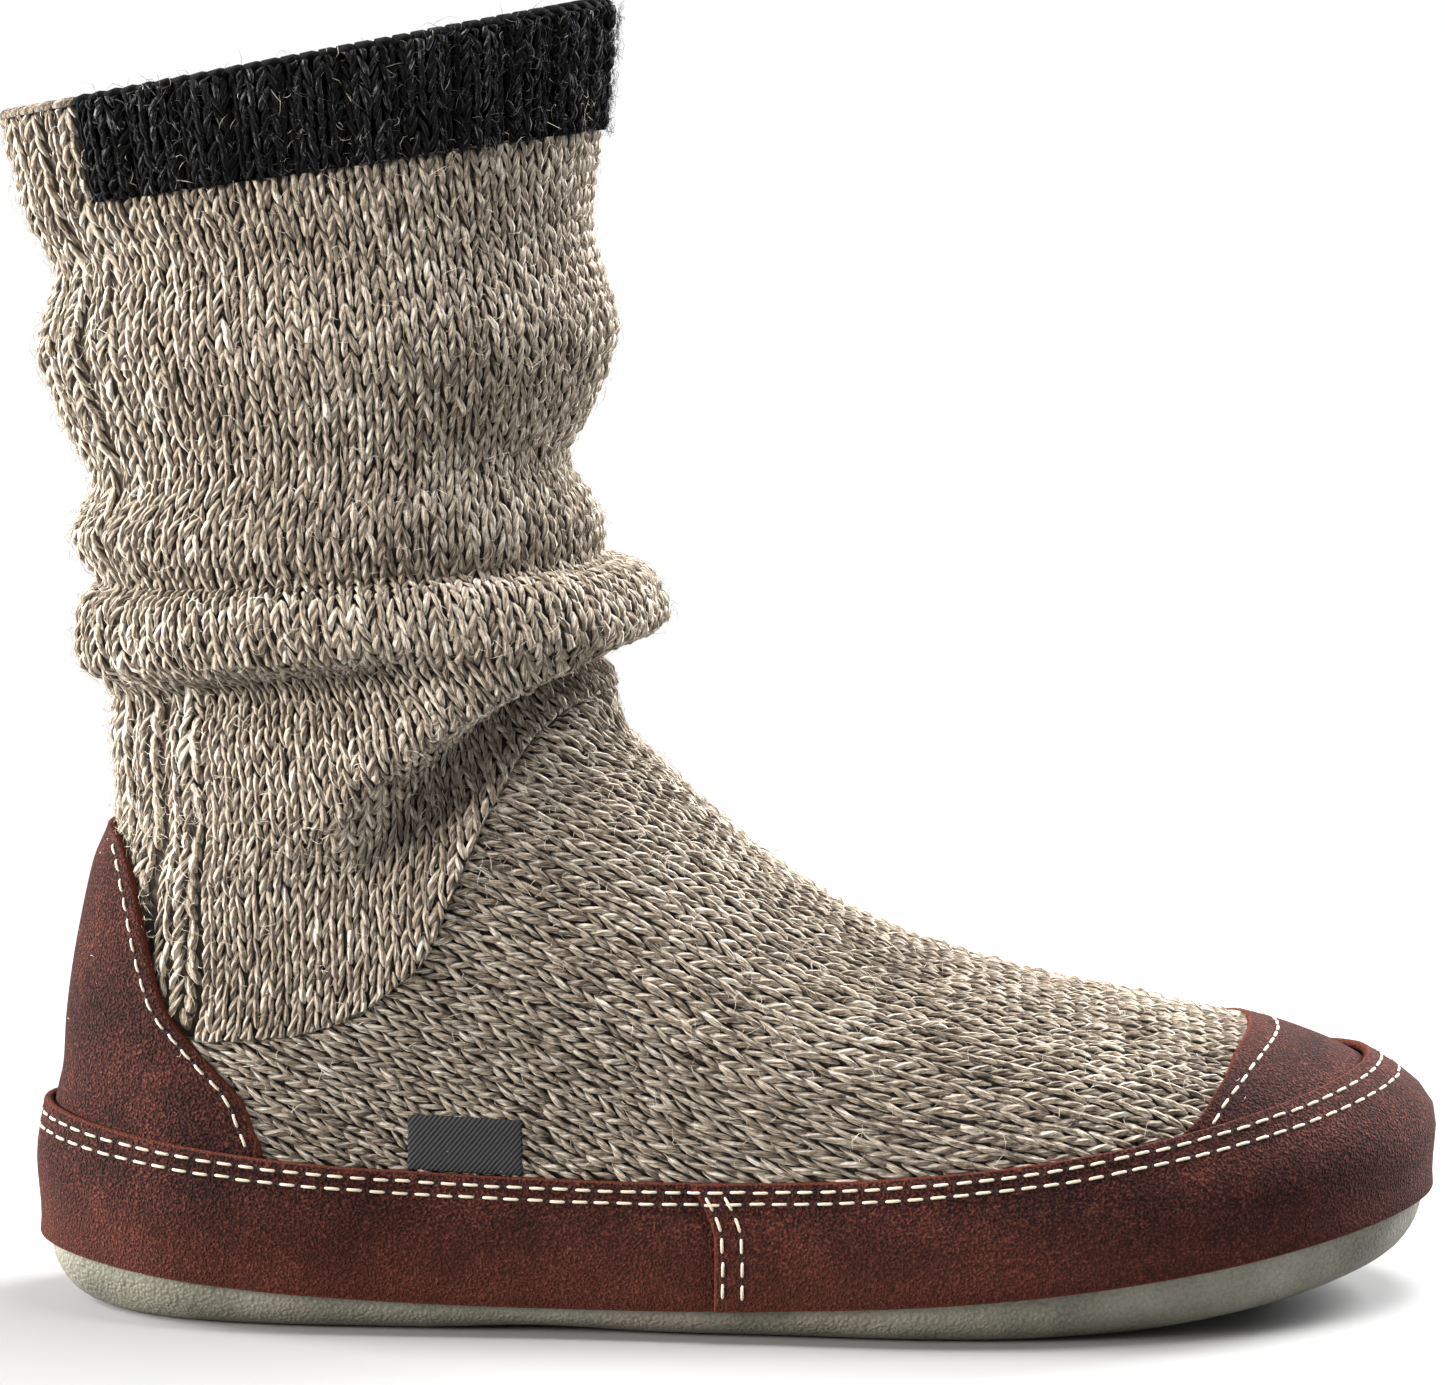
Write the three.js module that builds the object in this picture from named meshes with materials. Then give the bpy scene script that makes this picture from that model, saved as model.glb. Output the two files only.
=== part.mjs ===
import * as THREE from 'three';

// Slouch boot for the right foot: a wool sock knitted to shape, on a foam sole, edged with suede.
// Millimetres. X runs from heel to toe, Y towards the inner side of the foot, Z up.
// The origin is on the floor, under the middle of the heel seat.

// Driving dimensions
const footLength = 290;
const ballWidth = 98;
const instepHeight = 118;
const bootHeight = 264;
const legDepth = 120;
const legWidth = 74;
const heelSeat = 45;
const knitWall = 2.6;
const suedeThickness = 1.6;
const randThickness = 1.8;
const insoleThickness = 10;
const toeSpring = 12;
const heelLift = 3.5;
const archRise = 0.8;
const soleRound = 8;
const foldDepth = 5;
const ribDepth = 0.9;
const ribPitch = 9.6;
const cuffRibPitch = 11.4;
const cuffHeight = 24.5;
const lapPlace = 140;
const lapLength = 8;
const lapThickness = 0.8;
const lapStep = 0.6;
const labelPlace = 79;
const labelLength = 23;
const labelHeight = 11;
const labelThickness = 0.9;
const fitGap = 0.3;
const layerGap = 0.5;
const counterGap = 0.7;
const insoleClearance = 0.6;

// Rings of the boot's outside from the sole up. A ring is an oval, tilted from its back to its front.
// Lengths are shares of footLength from the heel, heights shares of instepHeight, widths a factor.
// last says how far the ring keeps the outline of the last, panel where the ribbed back panel ends.
const footRings = [
  { back: 0.0114, backUp: 0.11, front: 0.988, frontUp: 0.186, width: 0.954, last: 1, sag: -0.093, panel: 0.12 },
  { back: 0.0159, backUp: 0.229, front: 0.984, frontUp: 0.305, width: 0.929, last: 1, sag: -0.097, panel: 0.12 },
  { back: 0.0238, backUp: 0.347, front: 0.94, frontUp: 0.398, width: 0.874, last: 1, sag: -0.102, panel: 0.12 },
  { back: 0.0297, backUp: 0.415, front: 0.9, frontUp: 0.443, width: 0.867, last: 0.9, sag: -0.076, panel: 0.12 },
  { back: 0.032, backUp: 0.492, front: 0.814, frontUp: 0.5, width: 0.889, last: 0.62, sag: -0.051, panel: 0.12 },
  { back: 0.0366, backUp: 0.576, front: 0.71, frontUp: 0.555, width: 0.927, last: 0.35, sag: -0.03, panel: 0.138 },
  { back: 0.0438, backUp: 0.669, front: 0.614, frontUp: 0.631, width: 0.944, last: 0.15, sag: -0.013, panel: 0.154 },
  { back: 0.0528, backUp: 0.763, front: 0.524, frontUp: 0.758, width: 0.96, last: 0.05, sag: 0, panel: 0.165 },
  { back: 0.0648, backUp: 0.847, front: 0.457, frontUp: 0.903, width: 0.973, last: 0, sag: 0, panel: 0.18 },
];
// The leg goes on upward: lengths are shares of legDepth, heights shares of the leg above the instep.
const legRings = [
  { back: 0.154, backUp: -0.055, front: 1.013, frontUp: 0.007, width: 0.973, panel: 0.2 },
  { back: 0.139, backUp: 0.021, front: 1, frontUp: 0.089, width: 0.973, panel: 0.2 },
  { back: 0.125, backUp: 0.103, front: 0.992, frontUp: 0.164, width: 1, panel: 0.13 },
  { back: 0.113, backUp: 0.192, front: 0.983, frontUp: 0.243, width: 1.014, panel: 0.11 },
  { back: 0.1, backUp: 0.274, front: 0.967, frontUp: 0.322, width: 1.014, panel: 0.12 },
  { back: 0.086, backUp: 0.356, front: 0.963, frontUp: 0.404, width: 1.014, panel: 0.158 },
  { back: 0.063, backUp: 0.452, front: 0.967, frontUp: 0.493, width: 1.014, panel: 0.17 },
  { back: 0.05, backUp: 0.541, front: 0.971, frontUp: 0.582, width: 1, panel: 0.16 },
  { back: 0.032, backUp: 0.63, front: 0.967, frontUp: 0.699, width: 0.973, panel: 0.165 },
  { back: 0.0125, backUp: 0.712, front: 0.971, frontUp: 0.822, width: 0.932, panel: 0.145 },
  { back: -0.021, backUp: 0.846, front: 0.988, frontUp: 1, width: 0.892, panel: 0.14 },
];

// Outline of the last in plan: half width as a share of half the ball width, before a ring rounds it,
// and how far its middle lies towards the inner side, as a share of the ball width
const lastPlan = [
  { share: 0, half: 1.12, shift: 0 },
  { share: 0.08, half: 1.088, shift: 0 },
  { share: 0.15, half: 0.994, shift: -0.003 },
  { share: 0.25, half: 0.86, shift: -0.012 },
  { share: 0.38, half: 0.775, shift: -0.033 },
  { share: 0.5, half: 0.82, shift: -0.042 },
  { share: 0.62, half: 0.978, shift: -0.026 },
  { share: 0.7, half: 1.098, shift: -0.004 },
  { share: 0.78, half: 1.202, shift: 0.018 },
  { share: 0.86, half: 1.282, shift: 0.035 },
  { share: 0.93, half: 1.314, shift: 0.044 },
  { share: 1, half: 1.28, shift: 0.046 },
];

// Underside of the sole: how far it leaves the floor at a share of the length from the heel
const groundLine = [
  { share: 0, rise: heelLift },
  { share: 0.04, rise: heelLift * 0.25 },
  { share: 0.085, rise: 0 },
  { share: 0.275, rise: 0 },
  { share: 0.36, rise: archRise },
  { share: 0.45, rise: 0 },
  { share: 0.655, rise: 0 },
  { share: 0.76, rise: toeSpring * 0.08 },
  { share: 0.86, rise: toeSpring * 0.33 },
  { share: 0.95, rise: toeSpring * 0.72 },
  { share: 1, rise: toeSpring },
];

// Seam between the foot knit and the leg knit: the ring it crosses at each share from heel to toe
const seamLine = [
  { share: 0, ring: 4.2 },
  { share: 0.12, ring: 4.25 },
  { share: 0.21, ring: 4.5 },
  { share: 0.264, ring: 4.78 },
  { share: 0.316, ring: 5.16 },
  { share: 0.425, ring: 6.08 },
  { share: 0.55, ring: 7.16 },
  { share: 0.653, ring: 7.91 },
  { share: 0.774, ring: 8.68 },
  { share: 0.865, ring: 9.26 },
  { share: 0.929, ring: 9.54 },
  { share: 1, ring: 9.66 },
];

// Edge of the heel counter: the share from the heel at which it lies on each ring
const counterEdge = [
  { ring: 1.4, share: 0.163 },
  { ring: 2.21, share: 0.161 },
  { ring: 2.52, share: 0.156 },
  { ring: 3.14, share: 0.149 },
  { ring: 3.69, share: 0.133 },
  { ring: 4.22, share: 0.116 },
  { ring: 4.74, share: 0.101 },
  { ring: 5.43, share: 0.091 },
  { ring: 6.09, share: 0.082 },
  { ring: 6.92, share: 0.066 },
  { ring: 7.53, share: 0.034 },
  { ring: 7.84, share: 0.002 },
];

// Rear edge of the toe cap: the ring it crosses at each share from heel to toe
const toeCapEdge = [
  { share: 0.853, ring: 2.05 },
  { share: 0.872, ring: 2.26 },
  { share: 0.907, ring: 2.77 },
  { share: 0.957, ring: 3.28 },
  { share: 1, ring: 3.52 },
];

// Slouch folds of the leg, ridges out and troughs in. span is the share from back to front that a fold
// covers. At its start, middle and end, at gives its ring and out its height as a share of foldDepth.
// wide is its half width above and below, in rings, and inner how much of it the inner side has.
const folds = {
  upperWaist: { span: [0, 1], at: [17, 16.9, 17.1], out: [-0.85, -0.3, -0.3], wide: [0.7, 0.6], inner: 1 },
  upperSwell: { span: [0, 1], at: [15.85, 15.9, 15.7], out: [0.4, 0.2, 0.65], wide: [0.7, 0.7], inner: 1 },
  lowerWaist: { span: [0, 1], at: [13.85, 14.1, 13.67], out: [-0.8, -0.35, -1.25], wide: [0.7, 0.6], inner: 1 },
  backSwell: { span: [0, 0.3], at: [13, 13, 12.9], out: [0.5, 0.35, 0], wide: [0.35, 0.35], inner: 1 },
  rollCrease: { span: [0, 1], at: [12.2, 12.2, 12.15], out: [-0.35, -0.45, -0.6], wide: [0.25, 0.2], inner: 0.9 },
  roll: { span: [0, 1], at: [11.35, 11.55, 11.55], out: [0.75, 0.75, 1.35], wide: [0.45, 0.4], inner: 0.9 },
  underRoll: { span: [0, 0.6], at: [10.2, 10.45, 10.4], out: [-0.2, -0.8, -0.1], wide: [0.35, 0.4], inner: 0.8 },
  slantRidge: { span: [0.45, 1], at: [8.3, 10.1, 10.95], out: [0.2, 0.55, 0.2], wide: [0.6, 0.4], inner: 0.7 },
  slantTrough: { span: [0.4, 1], at: [7, 9.05, 10.4], out: [-0.35, -0.95, -0.6], wide: [0.4, 0.45], inner: 0.7 },
  seamRidge: { span: [0.4, 1], at: [6.1, 8.4, 10], out: [0.2, 0.2, 0.35], wide: [0.35, 0.35], inner: 0.9 },
  instepCrease: { span: [0.7, 1], at: [7.7, 8.3, 9], out: [0, -0.25, -0.15], wide: [0.3, 0.3], inner: 1 },
};

// Mesh density
const shaftColumns = 32;
const seamRows = 9;
const foldRings = [10.4, 10.8, 11.1, 11.35, 11.6, 11.85, 12.15, 12.5, 13, 13.5, 14, 14.6, 15.2, 15.8, 16.4, 17];
const cuffRows = 3;
const footSeamRows = 7;
const lowRings = [0.15, 0.8, 1.4, 2, 2.6, 3.3];
const roundSteps = 3;
const tabColumns = 4;
const tabRows = 2;
const girthSteps = 32;
const columnMargin = 0.05;
const probe = 0.02;
// The foot's seam runs at a slant, so its gap is wider up a column
const seamSlant = 1.4;
// How sharply a fold ends beyond its from and to, and how far ahead of an overlay's edge the rand starts to rise
const foldEnd = 6;
const overlayRun = 16;
// Length of the slope from the rear half's full thickness down to its thinned end
const stepRun = 0.1;
const randRings = [0, 0.15, 0.8, 1.4, 1.7, 2];
const counterRings = [1.4, 1.7, 2, 2.6, 3.3, 4.2, 5.3, 6.3, 7.1, 7.55, 7.84];
const counterColumns = 20;
const toeCapColumns = 12;
const toeCapRows = 5;

const heelX = -heelSeat;
const ballHalf = ballWidth / 2;
const legHalf = legWidth / 2;
const legRise = bootHeight - instepHeight;
const soleTopRing = lowRings[0];
const shaftRows = seamRows + foldRings.length;
const collarRing = footRings.length + legRings.length - 1;

// Smooth curve through one column of a table, level wherever the column turns
function follow(rows, key, column, x) {
  const last = rows.length - 1;
  const secant = (k) => {
    const run = rows[k + 1][key] - rows[k][key];
    return (rows[k + 1][column] - rows[k][column]) / run;
  };
  const slope = (k) => {
    if (k === 0) return secant(0);
    if (k === last) return secant(last - 1);
    const before = secant(k - 1);
    const after = secant(k);
    return before * after <= 0 ? 0 : (2 * before * after) / (before + after);
  };
  let k = 0;
  while (k < last - 1 && x > rows[k + 1][key]) k += 1;
  const run = rows[k + 1][key] - rows[k][key];
  const t = THREE.MathUtils.clamp((x - rows[k][key]) / run, 0, 1);
  const startValue = (1 + 2 * t) * (1 - t) ** 2 * rows[k][column];
  const endValue = t * t * (3 - 2 * t) * rows[k + 1][column];
  const startSlope = t * (1 - t) ** 2 * run * slope(k);
  const endSlope = t * t * (t - 1) * run * slope(k + 1);
  return startValue + endValue + startSlope + endSlope;
}

// All rings in millimetres, numbered from the sole up
const rings = [];
for (const row of footRings) {
  rings.push({
    ring: rings.length,
    back: heelX + row.back * footLength,
    backUp: row.backUp * instepHeight,
    front: heelX + row.front * footLength,
    frontUp: row.frontUp * instepHeight,
    width: row.width,
    last: row.last,
    sag: row.sag * instepHeight,
    panel: row.panel,
  });
}
for (const row of legRings) {
  rings.push({
    ring: rings.length,
    back: heelX + row.back * legDepth,
    backUp: instepHeight + row.backUp * legRise,
    front: heelX + row.front * legDepth,
    frontUp: instepHeight + row.frontUp * legRise,
    width: row.width,
    last: 0,
    sag: 0,
    panel: row.panel,
  });
}

// Share of the way from the back of a ring to its front, and the angle that belongs to it
function shareAt(angle) {
  return (1 + Math.cos(angle)) / 2;
}

function angleAt(share) {
  return Math.acos(2 * share - 1);
}

// Share at which a ring passes a place, in millimetres from the back of the heel
function shareOf(place, ring) {
  const back = follow(rings, 'ring', 'back', ring);
  const front = follow(rings, 'ring', 'front', ring);
  return (heelX + place - back) / (front - back);
}

// Height of a ring at a place along the boot
function ringHeight(ring, x) {
  const back = follow(rings, 'ring', 'back', ring);
  const front = follow(rings, 'ring', 'front', ring);
  const backUp = follow(rings, 'ring', 'backUp', ring);
  const frontUp = follow(rings, 'ring', 'frontUp', ring);
  const share = THREE.MathUtils.clamp((x - back) / (front - back), 0, 1);
  const sag = follow(rings, 'ring', 'sag', ring) * 4 * share * (1 - share);
  return backUp + (frontUp - backUp) * share + sag;
}

// The boot's smooth outside: a point at an angle round a ring, 0 at the toe and half a turn at the heel
function smoothPoint(angle, ring) {
  const share = shareAt(angle);
  const back = follow(rings, 'ring', 'back', ring);
  const front = follow(rings, 'ring', 'front', ring);
  const last = follow(rings, 'ring', 'last', ring);
  const width = follow(rings, 'ring', 'width', ring);
  const planHalf = follow(lastPlan, 'share', 'half', share) * ballHalf;
  const half = width * (last * planHalf + (1 - last) * legHalf);
  const shift = last * follow(lastPlan, 'share', 'shift', share) * ballWidth;
  const x = back + (front - back) * share;
  return new THREE.Vector3(x, half * Math.sin(angle) + shift, ringHeight(ring, x));
}

function outward(angle, ring) {
  const around = smoothPoint(angle + probe, ring).sub(smoothPoint(angle - probe, ring));
  const top = Math.min(ring + probe, collarRing);
  const bottom = Math.max(ring - probe, 0);
  const up = smoothPoint(angle, top).sub(smoothPoint(angle, bottom));
  return around.cross(up).normalize();
}

// Value at a share t of a curve through three values, at its start, middle and end
function through(values, t) {
  const [start, middle, end] = values;
  return 2 * (t - 0.5) * (t - 1) * start + 4 * t * (1 - t) * middle + 2 * t * (t - 0.5) * end;
}

// How far the folds push the knit out at a place
function foldHeight(angle, ring) {
  const share = shareAt(angle);
  let height = 0;
  for (const fold of Object.values(folds)) {
    const run = (share - fold.span[0]) / (fold.span[1] - fold.span[0]);
    const along = THREE.MathUtils.clamp(run, 0, 1);
    const past = Math.abs(run - along) * foldEnd;
    const centre = through(fold.at, along);
    const away = (ring - centre) / (ring > centre ? fold.wide[0] : fold.wide[1]);
    const side = Math.sin(angle) > 0 ? 1 - (1 - fold.inner) * Math.sin(angle) : 1;
    height += side * through(fold.out, along) * foldDepth * Math.exp(-away * away - past * past);
  }
  return height;
}

function surfacePoint(angle, ring, offset) {
  const out = outward(angle, ring);
  const lift = offset + foldHeight(angle, ring);
  return smoothPoint(angle, ring).addScaledVector(out, lift);
}

// Turn or climb over the surface that makes a given distance in millimetres
function angleFor(distance, angle, ring) {
  const run = smoothPoint(angle + probe, ring).distanceTo(smoothPoint(angle - probe, ring));
  return (distance * 2 * probe) / run;
}

function ringsFor(distance, angle, ring) {
  const run = smoothPoint(angle, ring + probe).distanceTo(smoothPoint(angle, ring - probe));
  return (distance * 2 * probe) / run;
}

function geometryOf(positions, triangles) {
  let volume = 0;
  const corner = (k) => new THREE.Vector3().fromArray(positions, 3 * k);
  for (let k = 0; k < triangles.length; k += 3) {
    const [a, b, c] = [corner(triangles[k]), corner(triangles[k + 1]), corner(triangles[k + 2])];
    volume += a.dot(b.cross(c));
  }
  const index = volume > 0 ? triangles : triangles.reverse();
  const geometry = new THREE.BufferGeometry();
  geometry.setAttribute('position', new THREE.Float32BufferAttribute(positions, 3));
  geometry.setIndex(index);
  geometry.computeVertexNormals();
  return geometry;
}

function addQuad(triangles, a, b, c, d) {
  if (a !== b && b !== c && a !== c) triangles.push(a, b, c);
  if (a !== c && c !== d && a !== d) triangles.push(a, c, d);
}

// A sheet with an outer and an inner face. point(i, j, outer) places the grid's corners,
// and a closed sheet joins its last column to its first.
function sheet(columns, rows, point, closed) {
  const across = closed ? columns : columns + 1;
  const positions = [];
  for (const outer of [true, false]) {
    for (let j = 0; j <= rows; j += 1) {
      for (let i = 0; i < across; i += 1) positions.push(...point(i, j, outer).toArray());
    }
  }
  const innerStart = across * (rows + 1);
  const out = (i, j) => j * across + (i % across);
  const into = (i, j) => innerStart + out(i, j);
  const triangles = [];
  for (let i = 0; i < columns; i += 1) {
    for (let j = 0; j < rows; j += 1) {
      addQuad(triangles, out(i, j), out(i + 1, j), out(i + 1, j + 1), out(i, j + 1));
      addQuad(triangles, into(i, j), into(i, j + 1), into(i + 1, j + 1), into(i + 1, j));
    }
    addQuad(triangles, into(i, 0), into(i + 1, 0), out(i + 1, 0), out(i, 0));
    addQuad(triangles, out(i, rows), out(i + 1, rows), into(i + 1, rows), into(i, rows));
  }
  for (let j = 0; j < rows && !closed; j += 1) {
    addQuad(triangles, into(0, j), out(0, j), out(0, j + 1), into(0, j + 1));
    addQuad(triangles, out(columns, j), into(columns, j), into(columns, j + 1), out(columns, j + 1));
  }
  return geometryOf(positions, triangles);
}

// A solid through rings of points that all start at the toe, closed below and above by cross strips
function loft(pointRings) {
  const count = pointRings[0].length;
  const positions = pointRings.flat().flatMap((point) => point.toArray());
  const triangles = [];
  const top = (pointRings.length - 1) * count;
  for (let i = 0; i < count; i += 1) {
    const next = (i + 1) % count;
    for (let level = 0; level < top; level += count) {
      addQuad(triangles, level + i, level + next, level + count + next, level + count + i);
    }
  }
  for (let i = 0; i < count / 2; i += 1) {
    const across = (count - i) % count;
    addQuad(triangles, top + i, top + i + 1, top + count - i - 1, top + across);
    addQuad(triangles, i, across, count - i - 1, i + 1);
  }
  return geometryOf(positions, triangles);
}

function material(color, roughness) {
  return new THREE.MeshStandardMaterial({ color, roughness, metalness: 0 });
}

const boot = new THREE.Group();

function addPiece(name, geometry, finish) {
  const mesh = new THREE.Mesh(geometry, finish);
  mesh.name = name;
  boot.add(mesh);
}

const wool = material('#a39480', 0.95);
const darkWool = material('#2e2d2f', 0.95);
const foam = material('#7f8071', 0.8);
const felt = material('#b7aa94', 0.95);

function seamRing(share) {
  return follow(seamLine, 'share', 'ring', share);
}

function cuffRing() {
  const collar = rings[collarRing];
  const below = rings[collarRing - 1];
  return collarRing - cuffHeight / (collar.frontUp - below.frontUp);
}

const seamEdgeShare = rings[4].panel;
const seamEdgeRing = seamRing(seamEdgeShare);
const cuffStart = cuffRing();

// Ring of a row of the leg, from the ring where the leg starts up to the cuff
function legRing(row, start) {
  if (row <= seamRows) return THREE.MathUtils.lerp(start, foldRings[0], row / seamRows);
  if (row < shaftRows) return foldRings[row - seamRows];
  return cuffStart;
}

function edgeAngle(ring) {
  return angleAt(follow(rings, 'ring', 'panel', ring));
}

function girth(ring, from, to) {
  let length = 0;
  for (let k = 0; k < girthSteps; k += 1) {
    const start = smoothPoint(THREE.MathUtils.lerp(from, to, k / girthSteps), ring);
    length += start.distanceTo(smoothPoint(THREE.MathUtils.lerp(from, to, (k + 1) / girthSteps), ring));
  }
  return length;
}

const panelHalf = girth(cuffStart, edgeAngle(cuffStart), Math.PI);
const panelRibs = 2 * Math.floor(panelHalf / ribPitch) + 1;
const panelColumns = 2 * panelRibs;
const seamAngle = edgeAngle(seamEdgeRing);

// Angles of the foot's columns, from the toe round by the inner side, as the pieces above it divide it
const footAngles = [];
for (let i = 0; i < shaftColumns / 2; i += 1) {
  footAngles.push((seamAngle * i) / (shaftColumns / 2));
}
for (let i = 0; i < panelColumns; i += 1) {
  footAngles.push(THREE.MathUtils.lerp(seamAngle, 2 * Math.PI - seamAngle, i / panelColumns));
}
for (let i = 0; i < shaftColumns / 2; i += 1) {
  footAngles.push(2 * Math.PI - (seamAngle * (shaftColumns / 2 - i)) / (shaftColumns / 2));
}

// Outsole: a foam cup sole, flat under heel and ball, its edge a quarter round that lifts at the toe
function groundHeight(x) {
  return follow(groundLine, 'share', 'rise', (x - heelX) / footLength);
}

function sideNormal(angle, ring) {
  const out = outward(angle, ring).setZ(0);
  return out.normalize();
}

function solePoint(angle, turn) {
  const edge = smoothPoint(angle, 0);
  const inset = soleRound * (1 - Math.sin(turn));
  const point = edge.clone().addScaledVector(sideNormal(angle, 0), -inset);
  const floor = groundHeight(point.x);
  const climb = 1 - Math.cos(turn);
  return point.setZ(THREE.MathUtils.lerp(floor, ringHeight(0, point.x), climb));
}

function outsole() {
  const levels = [];
  for (let step = 0; step <= roundSteps; step += 1) {
    const turn = ((Math.PI / 2) * step) / roundSteps;
    levels.push(footAngles.map((angle) => solePoint(angle, turn)));
  }
  levels.push(footAngles.map((angle) => smoothPoint(angle, soleTopRing)));
  return loft(levels);
}
addPiece('outsole', outsole(), foam);

// Insole: a cushion that lies on the outsole inside the knit wall
function insolePoint(angle, ring, lift) {
  const inset = knitWall + insoleClearance;
  const point = smoothPoint(angle, ring).addScaledVector(sideNormal(angle, ring), -inset);
  return point.setZ(ringHeight(soleTopRing, point.x) + lift);
}

function insole() {
  const perRing = rings[1].backUp - rings[0].backUp;
  const topRing = soleTopRing + insoleThickness / perRing;
  const lowest = footAngles.map((angle) => insolePoint(angle, soleTopRing, fitGap));
  const highest = footAngles.map((angle) => insolePoint(angle, topRing, fitGap + insoleThickness));
  return loft([lowest, highest]);
}
addPiece('insole', insole(), felt);

// Foot of the sock: one knitted shell from the sole to the seam, open underneath and at the seam
function footPoint(i, j, outer) {
  const angle = footAngles[i];
  const seam = seamRing(shareAt(angle));
  const below = lowRings.length - 1;
  const start = lowRings[below];
  const end = seam - ringsFor(fitGap / 2, angle, seam) * seamSlant;
  const ring = j <= below ? lowRings[j] : THREE.MathUtils.lerp(start, end, (j - below) / footSeamRows);
  const point = surfacePoint(angle, ring, outer ? 0 : -knitWall);
  if (j === 0) point.setZ(ringHeight(soleTopRing, point.x) + fitGap);
  return point;
}
const footRows = lowRings.length - 1 + footSeamRows;
addPiece('foot_upper', sheet(footAngles.length, footRows, footPoint, true), wool);

// Shaft: the leg knit, open at the back where the ribbed panel is sewn in
function shaftPoint(i, j, outer) {
  const edgeRing = legRing(j, seamEdgeRing);
  const edge = edgeAngle(edgeRing);
  const inset = angleFor(fitGap / 2, edge, edgeRing);
  const angle = THREE.MathUtils.lerp(inset - edge, edge - inset, i / shaftColumns);
  const bottomAngle = THREE.MathUtils.lerp(-seamAngle, seamAngle, i / shaftColumns);
  const seam = seamRing(shareAt(bottomAngle));
  const low = seam + ringsFor(fitGap / 2, bottomAngle, seam) * seamSlant;
  const high = cuffStart - ringsFor(fitGap / 2, bottomAngle, cuffStart);
  return surfacePoint(angle, Math.min(legRing(j, low), high), outer ? 0 : -knitWall);
}
addPiece('shaft', sheet(shaftColumns, shaftRows, shaftPoint, false), wool);

// Back panel: ribs that run from the heel seam up to the collar
function panelPoint(i, j, outer) {
  const climb = (j - shaftRows) / cuffRows;
  const inLeg = j <= shaftRows;
  const ring = inLeg ? legRing(j, seamEdgeRing) : THREE.MathUtils.lerp(cuffStart, collarRing, climb);
  const edge = edgeAngle(ring);
  const inset = angleFor(fitGap / 2, edge, ring);
  const angle = THREE.MathUtils.lerp(edge + inset, 2 * Math.PI - edge - inset, i / panelColumns);
  const low = seamRing(shareAt(angle)) + ringsFor(fitGap / 2, angle, seamEdgeRing) * seamSlant;
  const furrow = i % 2 === 0 ? -ribDepth : 0;
  return surfacePoint(angle, Math.max(ring, low), outer ? furrow : -knitWall - ribDepth);
}
addPiece('back_rib', sheet(panelColumns, shaftRows + cuffRows, panelPoint, false), wool);

// Cuff: a dark ribbed band round the collar, from one edge of the back panel to the other
const cuffHalf = girth(collarRing, 0, edgeAngle(collarRing));
const cuffRibs = 2 * Math.round(cuffHalf / cuffRibPitch);

function cuffPoint(i, j, outer) {
  const climb = j / cuffRows;
  const low = cuffStart + ringsFor(fitGap / 2, 0, cuffStart);
  const ring = THREE.MathUtils.lerp(low, collarRing, climb);
  const edge = edgeAngle(THREE.MathUtils.lerp(cuffStart, collarRing, climb));
  const inset = angleFor(fitGap / 2, edge, ring);
  const angle = THREE.MathUtils.lerp(inset - edge, edge - inset, i / (2 * cuffRibs));
  const furrow = i % 2 === 0 ? -ribDepth : 0;
  return surfacePoint(angle, ring, outer ? furrow : -knitWall - ribDepth);
}
addPiece('cuff', sheet(2 * cuffRibs, cuffRows, cuffPoint, false), darkWool);

// Heel counter: a suede arch over the heel, on the knit and behind the rand
const suede = material('#5f2f26', 0.9);

function counterPoint(i, j, outer) {
  const ring = counterRings[j];
  const edge = angleAt(follow(counterEdge, 'ring', 'share', ring));
  const angle = THREE.MathUtils.lerp(edge, 2 * Math.PI - edge, i / counterColumns);
  return surfacePoint(angle, ring, outer ? counterGap + suedeThickness : counterGap);
}
addPiece('heel_counter', sheet(counterColumns, counterRings.length - 1, counterPoint, false), suede);

// Toe cap: suede over the toe, its rear edge curved back down to the rand
const capRings = counterRings.slice(0, 3);

function toeCapPoint(i, j, outer) {
  const reach = angleAt(toeCapEdge[0].share);
  const angle = THREE.MathUtils.lerp(-reach, reach, i / toeCapColumns);
  const edge = follow(toeCapEdge, 'share', 'ring', shareAt(angle));
  const climb = (j - capRings.length + 1) / toeCapRows;
  const ring = climb <= 0 ? capRings[j] : THREE.MathUtils.lerp(capRings[capRings.length - 1], edge, climb);
  return surfacePoint(angle, ring, outer ? layerGap + suedeThickness : layerGap);
}
addPiece('toe_cap', sheet(toeCapColumns, capRings.length - 1 + toeCapRows, toeCapPoint, false), suede);

// Rand: a suede band round the sole's edge in two halves. It rides over the counter and the toe cap,
// and the front half laps over the thinned ends of the rear half.
const lapShare = shareOf(lapPlace, 0);
const lapSpan = lapLength / footLength;
const overlaySpan = overlayRun / footLength;

function smoothStep(from, to, x) {
  const t = THREE.MathUtils.clamp((x - from) / (to - from), 0, 1);
  return t * t * (3 - 2 * t);
}

function randInside(share, ring) {
  const counter = 1 - smoothStep(counterEdge[0].share + overlaySpan, counterEdge[0].share + 2 * overlaySpan, share);
  const toeCap = smoothStep(toeCapEdge[0].share - 2 * overlaySpan, toeCapEdge[0].share - overlaySpan, share);
  const height = smoothStep(randRings[1], randRings[3], ring);
  const lift = Math.max(counter * (suedeThickness + counterGap), toeCap * (suedeThickness + layerGap));
  return layerGap + lift * height;
}

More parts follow.
